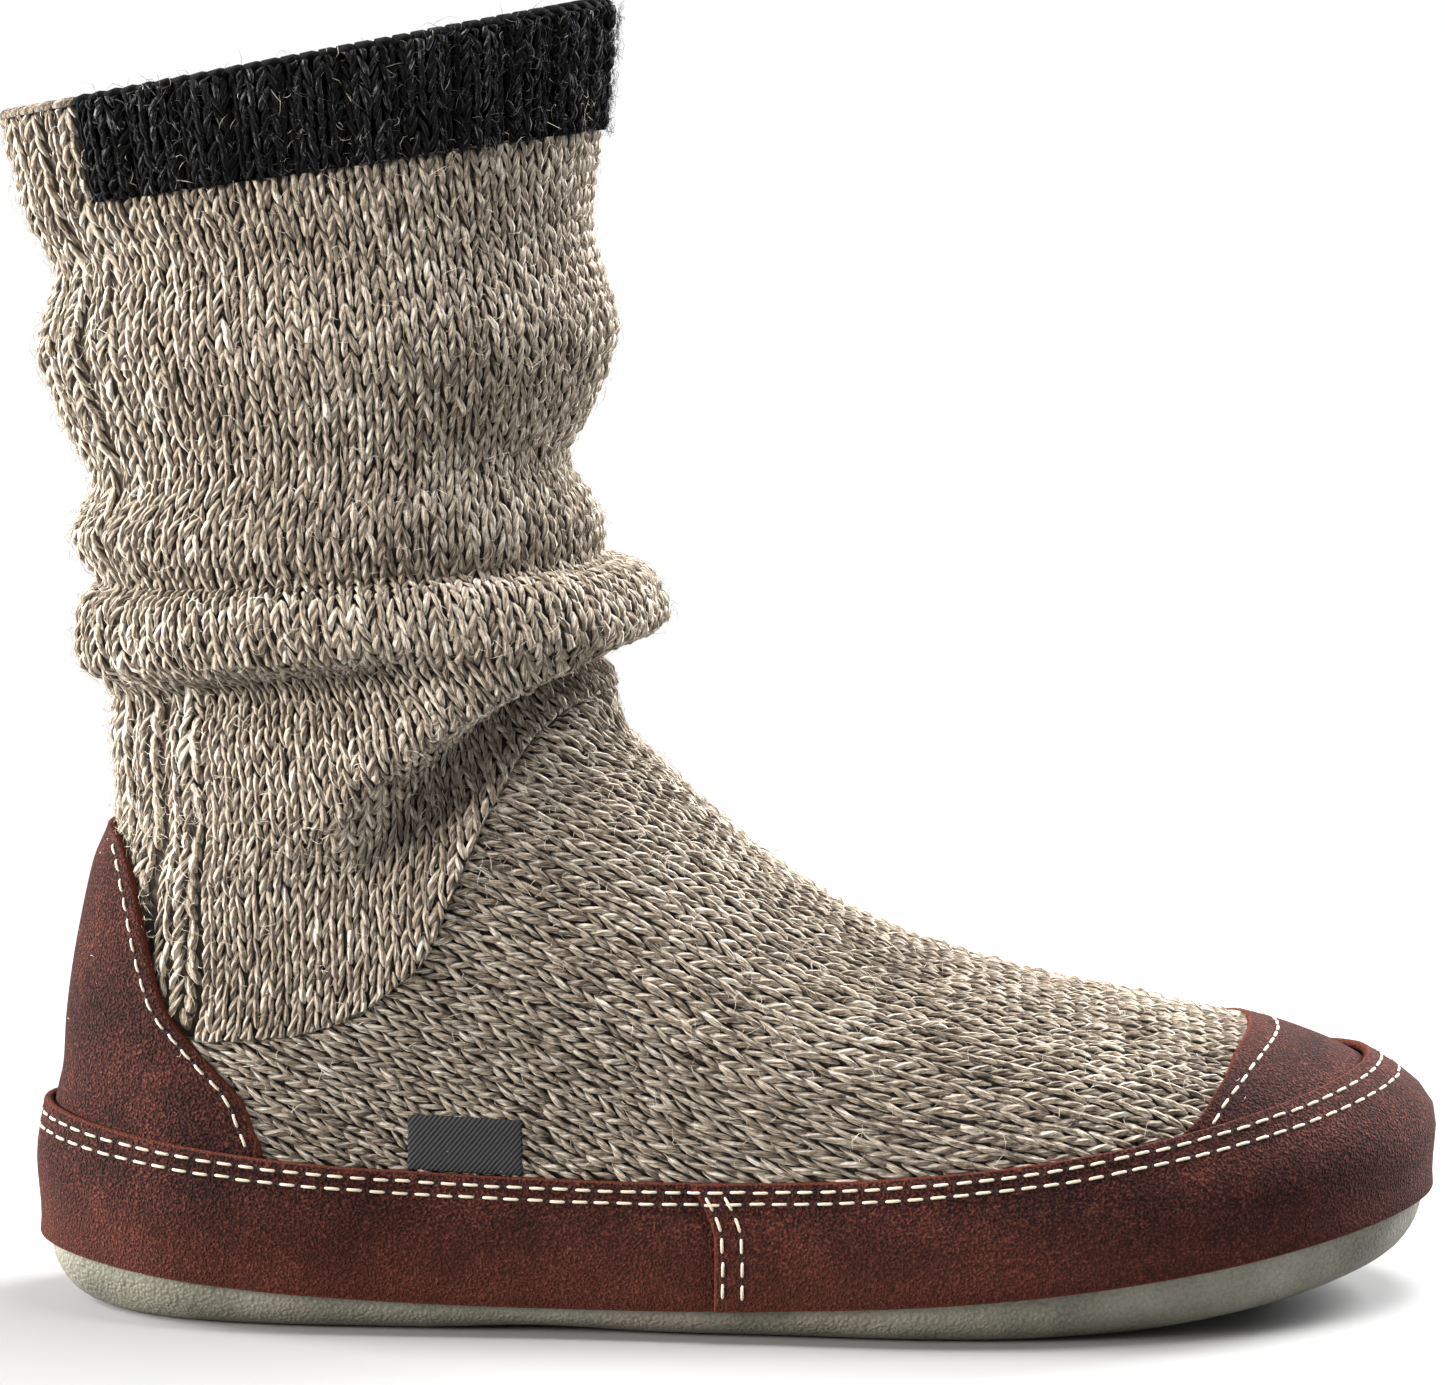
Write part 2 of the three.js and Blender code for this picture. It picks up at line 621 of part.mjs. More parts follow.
// Columns of one half of the rand: the foot's own angles out from its middle, then the given end shares
function bandAngles(middle, endShares) {
  const ends = endShares.map((share) => Math.abs(middle - angleAt(share)));
  const foot = footAngles.slice(0, footAngles.length / 2 + 1).map((angle) => Math.abs(middle - angle));
  const kept = foot.filter((turn) => turn < ends[0] - columnMargin).sort((a, b) => a - b);
  const turns = kept.concat(ends);
  const mirrored = turns.slice(1).reverse().map((turn) => middle - turn);
  return mirrored.concat(turns.map((turn) => middle + turn));
}

const stepShare = stepRun / footLength;
const lapEnd = lapShare + lapSpan;
const blendEnd = lapEnd + lapSpan;
const rearAngles = bandAngles(Math.PI, [lapShare - stepShare, lapShare, lapEnd]);
const frontAngles = bandAngles(0, [blendEnd, lapEnd, lapShare + fitGap / footLength]);

function rearPoint(i, j, outer) {
  const share = shareAt(rearAngles[i]);
  const ring = randRings[j];
  const thickness = share > lapShare - stepShare / 2 ? lapThickness : randThickness;
  return surfacePoint(rearAngles[i], ring, randInside(share, ring) + (outer ? thickness : 0));
}
addPiece('rand_rear', sheet(rearAngles.length - 1, randRings.length - 1, rearPoint, false), suede);

function frontPoint(i, j, outer) {
  const share = shareAt(frontAngles[i]);
  const ring = randRings[j];
  const lapped = share < (lapEnd + blendEnd) / 2;
  const inside = lapped ? layerGap + lapThickness + fitGap : randInside(share, ring);
  const outside = lapped ? layerGap + randThickness + lapStep : inside + randThickness;
  return surfacePoint(frontAngles[i], ring, outer ? outside : inside);
}
addPiece('rand_front', sheet(frontAngles.length - 1, randRings.length - 1, frontPoint, false), suede);

// Side tab: a small woven label, bare, flat on the knit over the rand's edge on the outer side
const labelRing = randRings[randRings.length - 1];

function tabPoint(i, j, outer) {
  const place = labelPlace + (labelLength * i) / tabColumns;
  const angle = -angleAt(shareOf(place, labelRing));
  const low = labelRing + ringsFor(fitGap, angle, labelRing);
  const ring = low + ringsFor(labelHeight, angle, low) * (j / tabRows);
  return surfacePoint(angle, ring, outer ? layerGap + labelThickness : layerGap);
}
addPiece('side_label', sheet(tabColumns, tabRows, tabPoint, false), material('#3c4043', 0.8));

export default boot;
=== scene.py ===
# Slouch boot for the right foot: a ragg wool sock knitted to shape, on a foam sole, edged with suede.
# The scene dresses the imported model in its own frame: metres, X from heel to toe, Z up.
# Sizes below are in millimetres and are turned to metres where a mesh is made.
import math

import bpy
import numpy as np
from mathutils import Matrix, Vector


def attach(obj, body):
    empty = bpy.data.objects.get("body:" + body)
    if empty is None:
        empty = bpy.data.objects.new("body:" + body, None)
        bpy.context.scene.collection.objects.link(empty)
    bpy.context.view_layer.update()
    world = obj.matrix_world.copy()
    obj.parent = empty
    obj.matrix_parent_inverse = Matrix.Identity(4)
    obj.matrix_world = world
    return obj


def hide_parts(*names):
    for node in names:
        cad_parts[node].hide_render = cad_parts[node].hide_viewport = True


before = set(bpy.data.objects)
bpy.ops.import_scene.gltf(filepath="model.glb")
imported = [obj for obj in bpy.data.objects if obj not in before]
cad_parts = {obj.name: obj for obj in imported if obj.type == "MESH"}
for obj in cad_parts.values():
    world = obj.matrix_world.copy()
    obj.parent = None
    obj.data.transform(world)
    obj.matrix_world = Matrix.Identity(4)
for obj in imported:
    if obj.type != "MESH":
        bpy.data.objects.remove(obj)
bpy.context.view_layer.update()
MM = 0.001
draw = np.random.default_rng(7)

# Camera and studio: a long lens at table height on the boot's outer side, as the photograph has it,
# a pale sweep of floor, and large soft lights above, in front and behind.
CAMERA_PLACE = (0.09676, -1.05, 0.26)
CAMERA_AIM = (0.09676, 0.0, 0.12485)
CAMERA_LENS = 129.37
SENSOR_WIDTH = 36.0
FLOOR_SIZE = 400.0
NEAR_FLOOR = 0.2
FAR_FLOOR = 0.75

camera = bpy.data.objects.new("photo_camera", bpy.data.cameras.new("photo_camera"))
camera.data.lens = CAMERA_LENS
camera.data.sensor_width = SENSOR_WIDTH
camera.data.sensor_fit = "HORIZONTAL"
camera.location = CAMERA_PLACE
sight = Vector(CAMERA_AIM) - Vector(CAMERA_PLACE)
camera.rotation_euler = sight.to_track_quat("-Z", "Y").to_euler()
bpy.context.scene.collection.objects.link(camera)
bpy.context.scene.camera = camera
bpy.context.scene.view_settings.view_transform = "Standard"


def srgb(code):
    """Linear colour of an sRGB hex code such as #5c2f26"""
    parts = [int(code[k : k + 2], 16) / 255 for k in (1, 3, 5)]
    return tuple(p / 12.92 if p <= 0.04045 else ((p + 0.055) / 1.055) ** 2.4 for p in parts) + (1.0,)


def add_node(tree, kind, values=None, links=None):
    """A node with its settings or input values, and links to its inputs by name or number"""
    made = tree.nodes.new(kind)
    for key, value in (values or {}).items():
        if isinstance(key, str) and hasattr(made, key):
            setattr(made, key, value)
        else:
            made.inputs[key].default_value = value
    for key, source in (links or {}).items():
        tree.links.new(source, made.inputs[key])
    return made


def new_material(name):
    """A material by that name, and its emptied node tree"""
    made = bpy.data.materials.new(name)
    made.use_nodes = True
    made.node_tree.nodes.clear()
    return made, made.node_tree


def set_ramp(ramp, stops):
    """Colour stops of a ramp node, as (position, hex code)"""
    elements = ramp.color_ramp.elements
    while len(elements) > 1:
        elements.remove(elements[-1])
    for k, (position, code) in enumerate(stops):
        element = elements[0] if k == 0 else elements.new(position)
        element.position = position
        element.color = srgb(code)
    return ramp


def add_light(name, place, aim, size, watts, tint):
    """A rectangular soft box that looks at a point"""
    light = bpy.data.objects.new(name, bpy.data.lights.new(name, "AREA"))
    light.data.shape = "RECTANGLE"
    light.data.size, light.data.size_y = size
    light.data.energy = watts
    light.data.color = srgb(tint)[:3]
    light.location = place
    light.rotation_euler = (Vector(aim) - Vector(place)).to_track_quat("-Z", "Y").to_euler()
    bpy.context.scene.collection.objects.link(light)


MIDDLE = (0.09, 0.0, 0.1)
add_light("key_light", (-1.35, -0.66, 0.56), MIDDLE, (0.55, 0.55), 44.0, "#fffaf4")
add_light("top_light", (0.45, 0.05, 1.45), MIDDLE, (0.9, 0.6), 52.0, "#ffffff")
add_light("right_rim", (1.15, 0.75, 0.75), MIDDLE, (0.6, 0.9), 68.0, "#ffffff")
add_light("left_rim", (-1.3, 0.25, 0.6), MIDDLE, (0.6, 0.9), 66.0, "#ffffff")

# The studio's walls: white at floor height, and above it dimmer in front of the boot than behind it
world = bpy.data.worlds.new("pale_studio")
bpy.context.scene.world = world
world.use_nodes = True
sky = world.node_tree
heading = add_node(
    sky, "ShaderNodeSeparateXYZ", links={0: add_node(sky, "ShaderNodeTexCoord").outputs["Generated"]}
)
dome = add_node(
    sky,
    "ShaderNodeMapRange",
    {"From Min": -1.0, "From Max": 1.0, "To Min": 0.22, "To Max": 0.75},
    {"Value": heading.outputs[1]},
)
above = add_node(
    sky, "ShaderNodeMapRange", {"From Min": 0.04, "From Max": 0.14}, {"Value": heading.outputs[2]}
)
level = add_node(sky, "ShaderNodeMix", {2: 1.0}, {0: above.outputs[0], 3: dome.outputs[0]})
sky.links.new(level.outputs[0], sky.nodes["Background"].inputs["Strength"])
sky.nodes["Background"].inputs["Color"].default_value = (1.0, 1.0, 1.0, 1.0)

# The floor is matt white paper. Away from the boot it turns to an even glow, so that no edge shows.
paper, tree = new_material("floor_paper")
place = add_node(tree, "ShaderNodeNewGeometry").outputs["Position"]
reach = add_node(tree, "ShaderNodeVectorMath", {"operation": "DISTANCE", 1: (0.1, 0.0, 0.0)}, {0: place})
far = add_node(
    tree,
    "ShaderNodeMapRange",
    {"interpolation_type": "SMOOTHSTEP", "From Min": NEAR_FLOOR, "From Max": FAR_FLOOR},
    {"Value": reach.outputs["Value"]},
)
matt = add_node(tree, "ShaderNodeBsdfPrincipled", {"Base Color": srgb("#878787"), "Roughness": 0.9})
glow = add_node(tree, "ShaderNodeEmission", {"Color": (1.0, 1.0, 1.0, 1.0), "Strength": 1.0})
both = add_node(
    tree,
    "ShaderNodeMixShader",
    links={0: far.outputs["Result"], 1: matt.outputs[0], 2: glow.outputs[0]},
)
add_node(tree, "ShaderNodeOutputMaterial", links={"Surface": both.outputs[0]})
bpy.ops.mesh.primitive_plane_add(size=FLOOR_SIZE, location=(0.1, 0.0, 0.0))
floor = bpy.context.object
floor.name = "floor"
floor.data.materials.append(paper)

# Foam outsole: moulded in one piece, its edge a quarter round that lifts at the toe.
# The sole, the knit and the suede all follow one form, so the form's sizes come first here:
# tilted rings from the sole up to the collar, a plan of the last, and the slouch folds.
FOOT_LENGTH = 290.0
BALL_WIDTH = 98.0
INSTEP_HEIGHT = 118.0
BOOT_HEIGHT = 264.0
LEG_DEPTH = 120.0
LEG_WIDTH = 74.0
HEEL_SEAT = 45.0
KNIT_WALL = 2.6
TOE_SPRING = 12.0
HEEL_LIFT = 3.5
ARCH_RISE = 0.8
SOLE_ROUND = 8.0

# back, its height, front, its height, width, how far it keeps the last, sag, edge of the back panel
FOOT_RINGS = [
    (0.0114, 0.11, 0.988, 0.186, 0.954, 1.0, -0.093, 0.12),
    (0.0159, 0.229, 0.984, 0.305, 0.929, 1.0, -0.097, 0.12),
    (0.0238, 0.347, 0.94, 0.398, 0.874, 1.0, -0.102, 0.12),
    (0.0297, 0.415, 0.9, 0.443, 0.867, 0.9, -0.076, 0.12),
    (0.032, 0.492, 0.814, 0.5, 0.889, 0.62, -0.051, 0.12),
    (0.0366, 0.576, 0.71, 0.555, 0.927, 0.35, -0.03, 0.138),
    (0.0438, 0.669, 0.614, 0.631, 0.944, 0.15, -0.013, 0.154),
    (0.0528, 0.763, 0.524, 0.758, 0.96, 0.05, 0.0, 0.165),
    (0.0648, 0.847, 0.457, 0.903, 0.973, 0.0, 0.0, 0.18),
]
# back, its height, front, its height, width, edge of the back panel
LEG_RINGS = [
    (0.154, -0.055, 1.013, 0.007, 0.973, 0.2),
    (0.139, 0.021, 1.0, 0.089, 0.973, 0.2),
    (0.125, 0.103, 0.992, 0.164, 1.0, 0.13),
    (0.113, 0.192, 0.983, 0.243, 1.014, 0.11),
    (0.1, 0.274, 0.967, 0.322, 1.014, 0.12),
    (0.086, 0.356, 0.963, 0.404, 1.014, 0.158),
    (0.063, 0.452, 0.967, 0.493, 1.014, 0.17),
    (0.05, 0.541, 0.971, 0.582, 1.0, 0.16),
    (0.032, 0.63, 0.967, 0.699, 0.973, 0.165),
    (0.0125, 0.712, 0.971, 0.822, 0.932, 0.145),
    (-0.021, 0.846, 0.988, 1.0, 0.892, 0.14),
]
# share of the length from the heel, half width, how far the middle lies to the inner side
LAST_PLAN = [
    (0.0, 1.12, 0.0),
    (0.08, 1.088, 0.0),
    (0.15, 0.994, -0.003),
    (0.25, 0.86, -0.012),
    (0.38, 0.775, -0.033),
    (0.5, 0.82, -0.042),
    (0.62, 0.978, -0.026),
    (0.7, 1.098, -0.004),
    (0.78, 1.202, 0.018),
    (0.86, 1.282, 0.035),
    (0.93, 1.314, 0.044),
    (1.0, 1.28, 0.046),
]
# share of the length from the heel, height over the floor
GROUND_LINE = [
    (0.0, HEEL_LIFT),
    (0.04, HEEL_LIFT * 0.25),
    (0.085, 0.0),
    (0.275, 0.0),
    (0.36, ARCH_RISE),
    (0.45, 0.0),
    (0.655, 0.0),
    (0.76, TOE_SPRING * 0.08),
    (0.86, TOE_SPRING * 0.33),
    (0.95, TOE_SPRING * 0.72),
    (1.0, TOE_SPRING),
]
# A fold: share where it starts and ends; at its start, middle and end its ring and how far it
# stands out; half width above and below in rings; how plump it is; how far it hangs over;
# how much of it the inner side has.
FOLDS = {
    "upper_waist": (0, 1, (17, 16.9, 17.1), (-4.2, -1.6, -1.6), 0.7, 0.6, 2, 0.0, 1.0),
    "upper_swell": (0, 1, (15.85, 15.9, 15.7), (2.2, 1.0, 3.2), 0.7, 0.7, 2, 0.0, 1.0),
    "lower_waist": (0, 1, (13.85, 14.1, 13.67), (-4.0, -1.8, -6.2), 0.7, 0.6, 2, 0.0, 1.0),
    "back_swell": (0, 0.3, (13, 13, 12.9), (2.5, 1.6, 0), 0.35, 0.35, 2, 0.0, 1.0),
    "roll_crease": (0, 1, (12.25, 12.25, 12.2), (-2.6, -3.6, -4.0), 0.22, 0.16, 2, 0.14, 0.9),
    "roll": (0, 1, (11.4, 11.55, 11.6), (4.0, 4.8, 7.4), 0.6, 0.56, 3.2, 0.26, 0.9),
    "under_roll": (0, 0.66, (10.3, 10.45, 10.6), (-1.8, -7.4, -0.6), 0.3, 0.55, 2, 0.0, 0.8),
    "slant_ridge": (0.42, 1, (8.5, 10.15, 11.0), (3.6, 8.0, 4.6), 0.95, 0.38, 2.2, 0.3, 0.7),
    "slant_trough": (0.4, 1, (7.2, 9.1, 10.35), (-3.8, -9.6, -6.6), 0.32, 0.75, 2, 0.0, 0.7),
    "seam_ridge": (0.4, 1, (6.1, 8.3, 10), (1.4, 2.0, 2.6), 0.3, 0.35, 2, 0.05, 0.9),
    "instep_crease": (0.7, 1, (7.7, 8.3, 9), (0, -1.2, -0.8), 0.3, 0.3, 2, 0.0, 1.0),
}
FOLD_END = 6.0
ANGLE_STEPS = 720
RING_STEP = 0.02
COLLAR_RING = len(FOOT_RINGS) + len(LEG_RINGS) - 1


def smooth_table(keys, values):
    """Smooth curve through a table, level wherever the values turn"""
    keys = np.asarray(keys, float)
    values = np.asarray(values, float)
    run = np.diff(keys)
    secant = np.diff(values) / run
    slope = np.concatenate([secant[:1], np.zeros(len(keys) - 2), secant[-1:]])
    before, after = secant[:-1], secant[1:]
    steady = before * after > 0
    slope[1:-1][steady] = 2 * (before * after)[steady] / (before + after)[steady]

    def curve(x):
        x = np.asarray(x, float)
        k = np.clip(np.searchsorted(keys, x, side="right") - 1, 0, len(keys) - 2)
        t = np.clip((x - keys[k]) / run[k], 0, 1)
        ends = (1 + 2 * t) * (1 - t) ** 2 * values[k] + t * t * (3 - 2 * t) * values[k + 1]
        return ends + run[k] * (t * (1 - t) ** 2 * slope[k] + t * t * (t - 1) * slope[k + 1])

    return curve


def ring_columns():
    """The form's rings in millimetres, as one smooth curve for each column"""
    rows = []
    leg_rise = BOOT_HEIGHT - INSTEP_HEIGHT
    for back, back_up, front, front_up, width, last, sag, panel in FOOT_RINGS:
        ends = (back * FOOT_LENGTH - HEEL_SEAT, front * FOOT_LENGTH - HEEL_SEAT)
        heights = (back_up * INSTEP_HEIGHT, front_up * INSTEP_HEIGHT)
        rows.append((ends[0], heights[0], ends[1], heights[1], width, last, sag * INSTEP_HEIGHT, panel))
    for back, back_up, front, front_up, width, panel in LEG_RINGS:
        ends = (back * LEG_DEPTH - HEEL_SEAT, front * LEG_DEPTH - HEEL_SEAT)
        heights = (INSTEP_HEIGHT + back_up * leg_rise, INSTEP_HEIGHT + front_up * leg_rise)
        rows.append((ends[0], heights[0], ends[1], heights[1], width, 0.0, 0.0, panel))
    numbers = np.arange(len(rows))
    return [smooth_table(numbers, column) for column in np.array(rows).T]


back_at, back_up_at, front_at, front_up_at, width_at, last_at, sag_at, panel_at = ring_columns()
plan = np.array(LAST_PLAN)
plan_half = smooth_table(plan[:, 0], plan[:, 1] * BALL_WIDTH / 2)
plan_shift = smooth_table(plan[:, 0], plan[:, 2] * BALL_WIDTH)
ground = smooth_table(*np.array(GROUND_LINE).T)


def angle_at(share):
    return np.arccos(np.clip(2 * np.asarray(share, float) - 1, -1, 1))


def share_at(angle):
    return (1 + np.cos(angle)) / 2


def smooth_point(angle, ring):
    """The form without its folds, at an angle round a ring: 0 at the toe, half a turn at the heel"""
    share = share_at(angle)
    back, front, last = back_at(ring), front_at(ring), last_at(ring)
    half = width_at(ring) * (last * plan_half(share) + (1 - last) * LEG_WIDTH / 2)
    x = back + (front - back) * share
    y = half * np.sin(angle) + last * plan_shift(share)
    back_up, front_up = back_up_at(ring), front_up_at(ring)
    z = back_up + (front_up - back_up) * share + sag_at(ring) * 4 * share * (1 - share)
    return np.stack([x, y, z], -1)


def through(values, t):
    """Curve through three values, at its start, middle and end"""
    start, middle, end = values
    return 2 * (t - 0.5) * (t - 1) * start + 4 * t * (1 - t) * middle + 2 * t * (t - 0.5) * end


def fold_push(angle, ring):
    """How far the folds push the knit out in millimetres, and down in rings"""
    share = share_at(angle)
    out = np.zeros_like(share)
    droop = np.zeros_like(share)
    for start, end, at, push, above, below, plump, hang, inner in FOLDS.values():
        run = (share - start) / (end - start)
        along = np.clip(run, 0, 1)
        past = np.abs(run - along) * FOLD_END
        centre = through(at, along)
        away = np.abs(ring - centre) / np.where(ring > centre, above, below)
        side = np.where(np.sin(angle) > 0, 1 - (1 - inner) * np.sin(angle), 1.0)
        bump = side * np.exp(-(away**plump) - past * past)
        out += bump * through(push, along)
        droop += bump * hang
    return out, droop


def normals_of(points):
    """Outward normals of a grid of points, ring by ring"""
    around = np.gradient(points, axis=1)
    around[:, 0] = around[:, -1] = points[:, 1] - points[:, -2]
    normal = np.cross(around, np.gradient(points, axis=0))
    return normal / np.maximum(np.linalg.norm(normal, axis=-1, keepdims=True), 1e-9)


ring_grid, angle_grid = np.meshgrid(
    np.arange(0, COLLAR_RING + RING_STEP / 2, RING_STEP),
    np.linspace(-math.pi, math.pi, ANGLE_STEPS + 1),
    indexing="ij",
)
plain_out = normals_of(smooth_point(angle_grid, ring_grid))
fold_out, fold_down = fold_push(angle_grid, ring_grid)
skin_points = smooth_point(angle_grid, ring_grid - fold_down) + plain_out * fold_out[..., None]
skin_out = normals_of(skin_points)


def looked_up(grid, angle, ring):
    """Values of a grid over the form, between its points"""
    column = np.mod(np.asarray(angle, float) + math.pi, 2 * math.pi) / (2 * math.pi) * ANGLE_STEPS
    row = np.clip(np.asarray(ring, float), 0, COLLAR_RING) / RING_STEP
    i = np.clip(column.astype(int), 0, ANGLE_STEPS - 1)
    j = np.clip(row.astype(int), 0, grid.shape[0] - 2)
    u = (column - i)[..., None]
    v = (row - j)[..., None]
    low = grid[j, i] * (1 - u) + grid[j, i + 1] * u
    high = grid[j + 1, i] * (1 - u) + grid[j + 1, i + 1] * u
    return low * (1 - v) + high * v


def on_skin(angle, ring, lift):
    """Points over the folded form, lifted off it"""
    lift = np.broadcast_to(lift, np.shape(angle))
    return looked_up(skin_points, angle, ring) + looked_up(skin_out, angle, ring) * lift[..., None]


def in_wall(angle, ring, depth):
    """Points inside the folded form, set in along the plain form's normals so that folds stay clean"""
    return looked_up(skin_points, angle, ring) - looked_up(plain_out, angle, ring) * depth


def add_piece(name, points, faces, finish, slot, marks=None):
    """A smooth mesh piece of the boot from points in millimetres and a list of face arrays"""
    mesh = bpy.data.meshes.new(name)
    points = np.asarray(points, float).reshape(-1, 3)
    mesh.vertices.add(len(points))
    mesh.vertices.foreach_set("co", (points * MM).ravel())
    corners = np.concatenate([f.ravel() for f in faces])
    sizes = np.concatenate([np.full(len(f), f.shape[1]) for f in faces])
    mesh.loops.add(len(corners))
    mesh.loops.foreach_set("vertex_index", corners)
    mesh.polygons.add(len(sizes))
    mesh.polygons.foreach_set("loop_start", np.concatenate([[0], np.cumsum(sizes)[:-1]]))
    mesh.polygons.foreach_set("use_smooth", np.ones(len(sizes), bool))
    mesh.update(calc_edges=True)
    for mark, values in (marks or {}).items():
        kind = "FLOAT" if values.ndim == 1 else "FLOAT_VECTOR"
        field = "value" if values.ndim == 1 else "vector"
        layer = mesh.attributes.new(mark, kind, "POINT")
        layer.data.foreach_set(field, values.astype(np.float32).ravel())
    mesh.materials.append(finish)
    piece = bpy.data.objects.new(name, mesh)
    bpy.context.scene.collection.objects.link(piece)
    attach(piece, "root")
    return piece


def grid_faces(rows, columns, start=0, closed=False):
    """Quads of a grid of points, row by row; a closed grid joins its last column to its first"""
    j, i = np.meshgrid(np.arange(rows - 1), np.arange(columns if closed else columns - 1), indexing="ij")
    nxt = (i + 1) % columns
    quads = [j * columns + i, j * columns + nxt, (j + 1) * columns + nxt, (j + 1) * columns + i]
    return np.stack(quads, -1).reshape(-1, 4) + start


def sheet_parts(outer, inner, closed=False):
    """Points and faces of a sheet between two grids of points, with rounded rims"""
    rows, columns = outer.shape[:2]
    count = rows * columns
    points = [outer.reshape(-1, 3), inner.reshape(-1, 3)]
    faces = [grid_faces(rows, columns, 0, closed), grid_faces(rows, columns, count, closed)[:, ::-1]]
    flat = np.arange(count).reshape(rows, columns)
    rims = [flat[0], flat[-1][::-1]]
    if not closed:
        rims = [np.concatenate([flat[0], flat[1:, -1], flat[-1, :-1][::-1], flat[1:-1, 0][::-1]])]
    for rim in rims:
        after = np.roll(rim, -1)
        faces.append(np.stack([after, rim, rim + count, after + count], -1))
    return np.concatenate(points), faces


# Angles round the sole, and its profile from the floor up to the top of its edge
SOLE_COLUMNS = 360
SOLE_STEPS = 9
SOLE_TOP_RING = 0.15
UNDERSIDE_SHARES = (0.25, 0.5, 0.75)
round_angles = np.linspace(-math.pi, math.pi, SOLE_COLUMNS, endpoint=False)


def side_out(angle, ring):
    """Level outward direction of the plain form"""
    out = looked_up(plain_out, angle, ring) * (1, 1, 0)
    return out / np.linalg.norm(out, axis=-1, keepdims=True)


def sole_ring(turn):
    """One line round the sole's edge, from underneath (turn 0) up to the suede band (a quarter)"""
    edge = smooth_point(round_angles, np.zeros(SOLE_COLUMNS))
    line = edge - side_out(round_angles, 0.0 * round_angles) * SOLE_ROUND * (1 - math.sin(turn))
    level = ground((line[:, 0] + HEEL_SEAT) / FOOT_LENGTH)
    climb = 1 - math.cos(turn)
    line[:, 2] = level * (1 - climb) + edge[:, 2] * climb
    return line


def closed_stack(levels):
    """Points and faces of a form from rings one above another, shut across at both ends"""
    faces = [grid_faces(len(levels), SOLE_COLUMNS, 0, True)]
    half = SOLE_COLUMNS // 2
    i = np.arange(half)
    strips = np.stack([i, (SOLE_COLUMNS - i) % SOLE_COLUMNS, SOLE_COLUMNS - i - 1, i + 1], -1)[1:-1]
    caps = [np.array([[0, SOLE_COLUMNS - 1, 1]]), np.array([[half - 1, half + 1, half]])]
    last = (len(levels) - 1) * SOLE_COLUMNS
    faces += [strips] + caps + [strips[:, ::-1] + last] + [cap[:, ::-1] + last for cap in caps]
    return np.concatenate(levels), faces


def sole_parts():
    levels = []
    for share in UNDERSIDE_SHARES:
        ring = sole_ring(0.0) * (1, share, 1)
        ring[:, 2] = ground((ring[:, 0] + HEEL_SEAT) / FOOT_LENGTH)
        levels.append(ring)
    levels += [sole_ring(math.pi / 2 * k / SOLE_STEPS) for k in range(SOLE_STEPS + 1)]
    levels.append(smooth_point(round_angles, np.full(SOLE_COLUMNS, SOLE_TOP_RING)))
    return closed_stack(levels)


# Foam rubber, moulded against a leather-grained tool: a grey green, matt, with fine pebbled grain.
GRAIN_SIZE = 0.7
GRAIN_DEPTH = 0.32
foam, tree = new_material("moulded_foam_rubber")
spot = add_node(tree, "ShaderNodeTexCoord").outputs["Object"]
patch = add_node(tree, "ShaderNodeTexNoise", {"Scale": 45.0, "Detail": 3.0}, {"Vector": spot})
pebble = add_node(
    tree, "ShaderNodeTexVoronoi", {"feature": "SMOOTH_F1", "Scale": 1000 / GRAIN_SIZE}, {0: spot}
)
mixed = add_node(
    tree,
    "ShaderNodeMath",
    {"operation": "MULTIPLY_ADD", 1: -0.35},
    {0: pebble.outputs[0], 2: patch.outputs[0]},
)
spread = add_node(
    tree, "ShaderNodeMapRange", {"From Min": 0.1, "From Max": 0.65}, {"Value": mixed.outputs[0]}
)
shade = set_ramp(
    add_node(tree, "ShaderNodeValToRGB", links={0: spread.outputs[0]}),
    [(0.0, "#4c4b40"), (0.5, "#706e60"), (1.0, "#86857a")],
)
grain = add_node(
    tree,
    "ShaderNodeBump",
    {"invert": True, "Strength": 1.0, "Distance": GRAIN_DEPTH * MM},
    {"Height": pebble.outputs[0]},
)
shader = add_node(
    tree,
    "ShaderNodeBsdfPrincipled",
    {"Roughness": 0.62, "IOR": 1.5},
    {"Base Color": shade.outputs[0], "Normal": grain.outputs[0]},
)
add_node(tree, "ShaderNodeOutputMaterial", links={"Surface": shader.outputs[0]})
sole_piece = add_piece("sole_foam", *sole_parts(), foam, "foam_sole")
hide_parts("outsole")

# Footbed: a firm cushion that lies loose on the outsole inside the knit, seen only from above.
# Its face is pressed wool felt, and its edges are rounded.
FOOTBED_CLEARANCE = 0.6
FOOTBED_GAP = 0.3
FOOTBED_THICKNESS = 10.0
# height over its underside, and how far its side draws in there
FOOTBED_RINGS = (
    (0.0, 1.2),
    (1.2, 0.2),
    (4.0, 0.0),
    (8.2, 0.1),
    (9.4, 0.9),
    (9.9, 2.4),
    (FOOTBED_THICKNESS, 4.5),
)


def footbed_parts():
    per_ring = (FOOT_RINGS[1][1] - FOOT_RINGS[0][1]) * INSTEP_HEIGHT
    levels = []
    for height, inset in FOOTBED_RINGS:
        ring = np.full(SOLE_COLUMNS, SOLE_TOP_RING + height / per_ring)
        line = smooth_point(round_angles, ring)
        line -= side_out(round_angles, ring) * (KNIT_WALL + FOOTBED_CLEARANCE + inset)
        line[:, 2] = smooth_point(round_angles, np.full(SOLE_COLUMNS, SOLE_TOP_RING))[:, 2]
        line[:, 2] += FOOTBED_GAP + height
        levels.append(line)
    return closed_stack(levels)


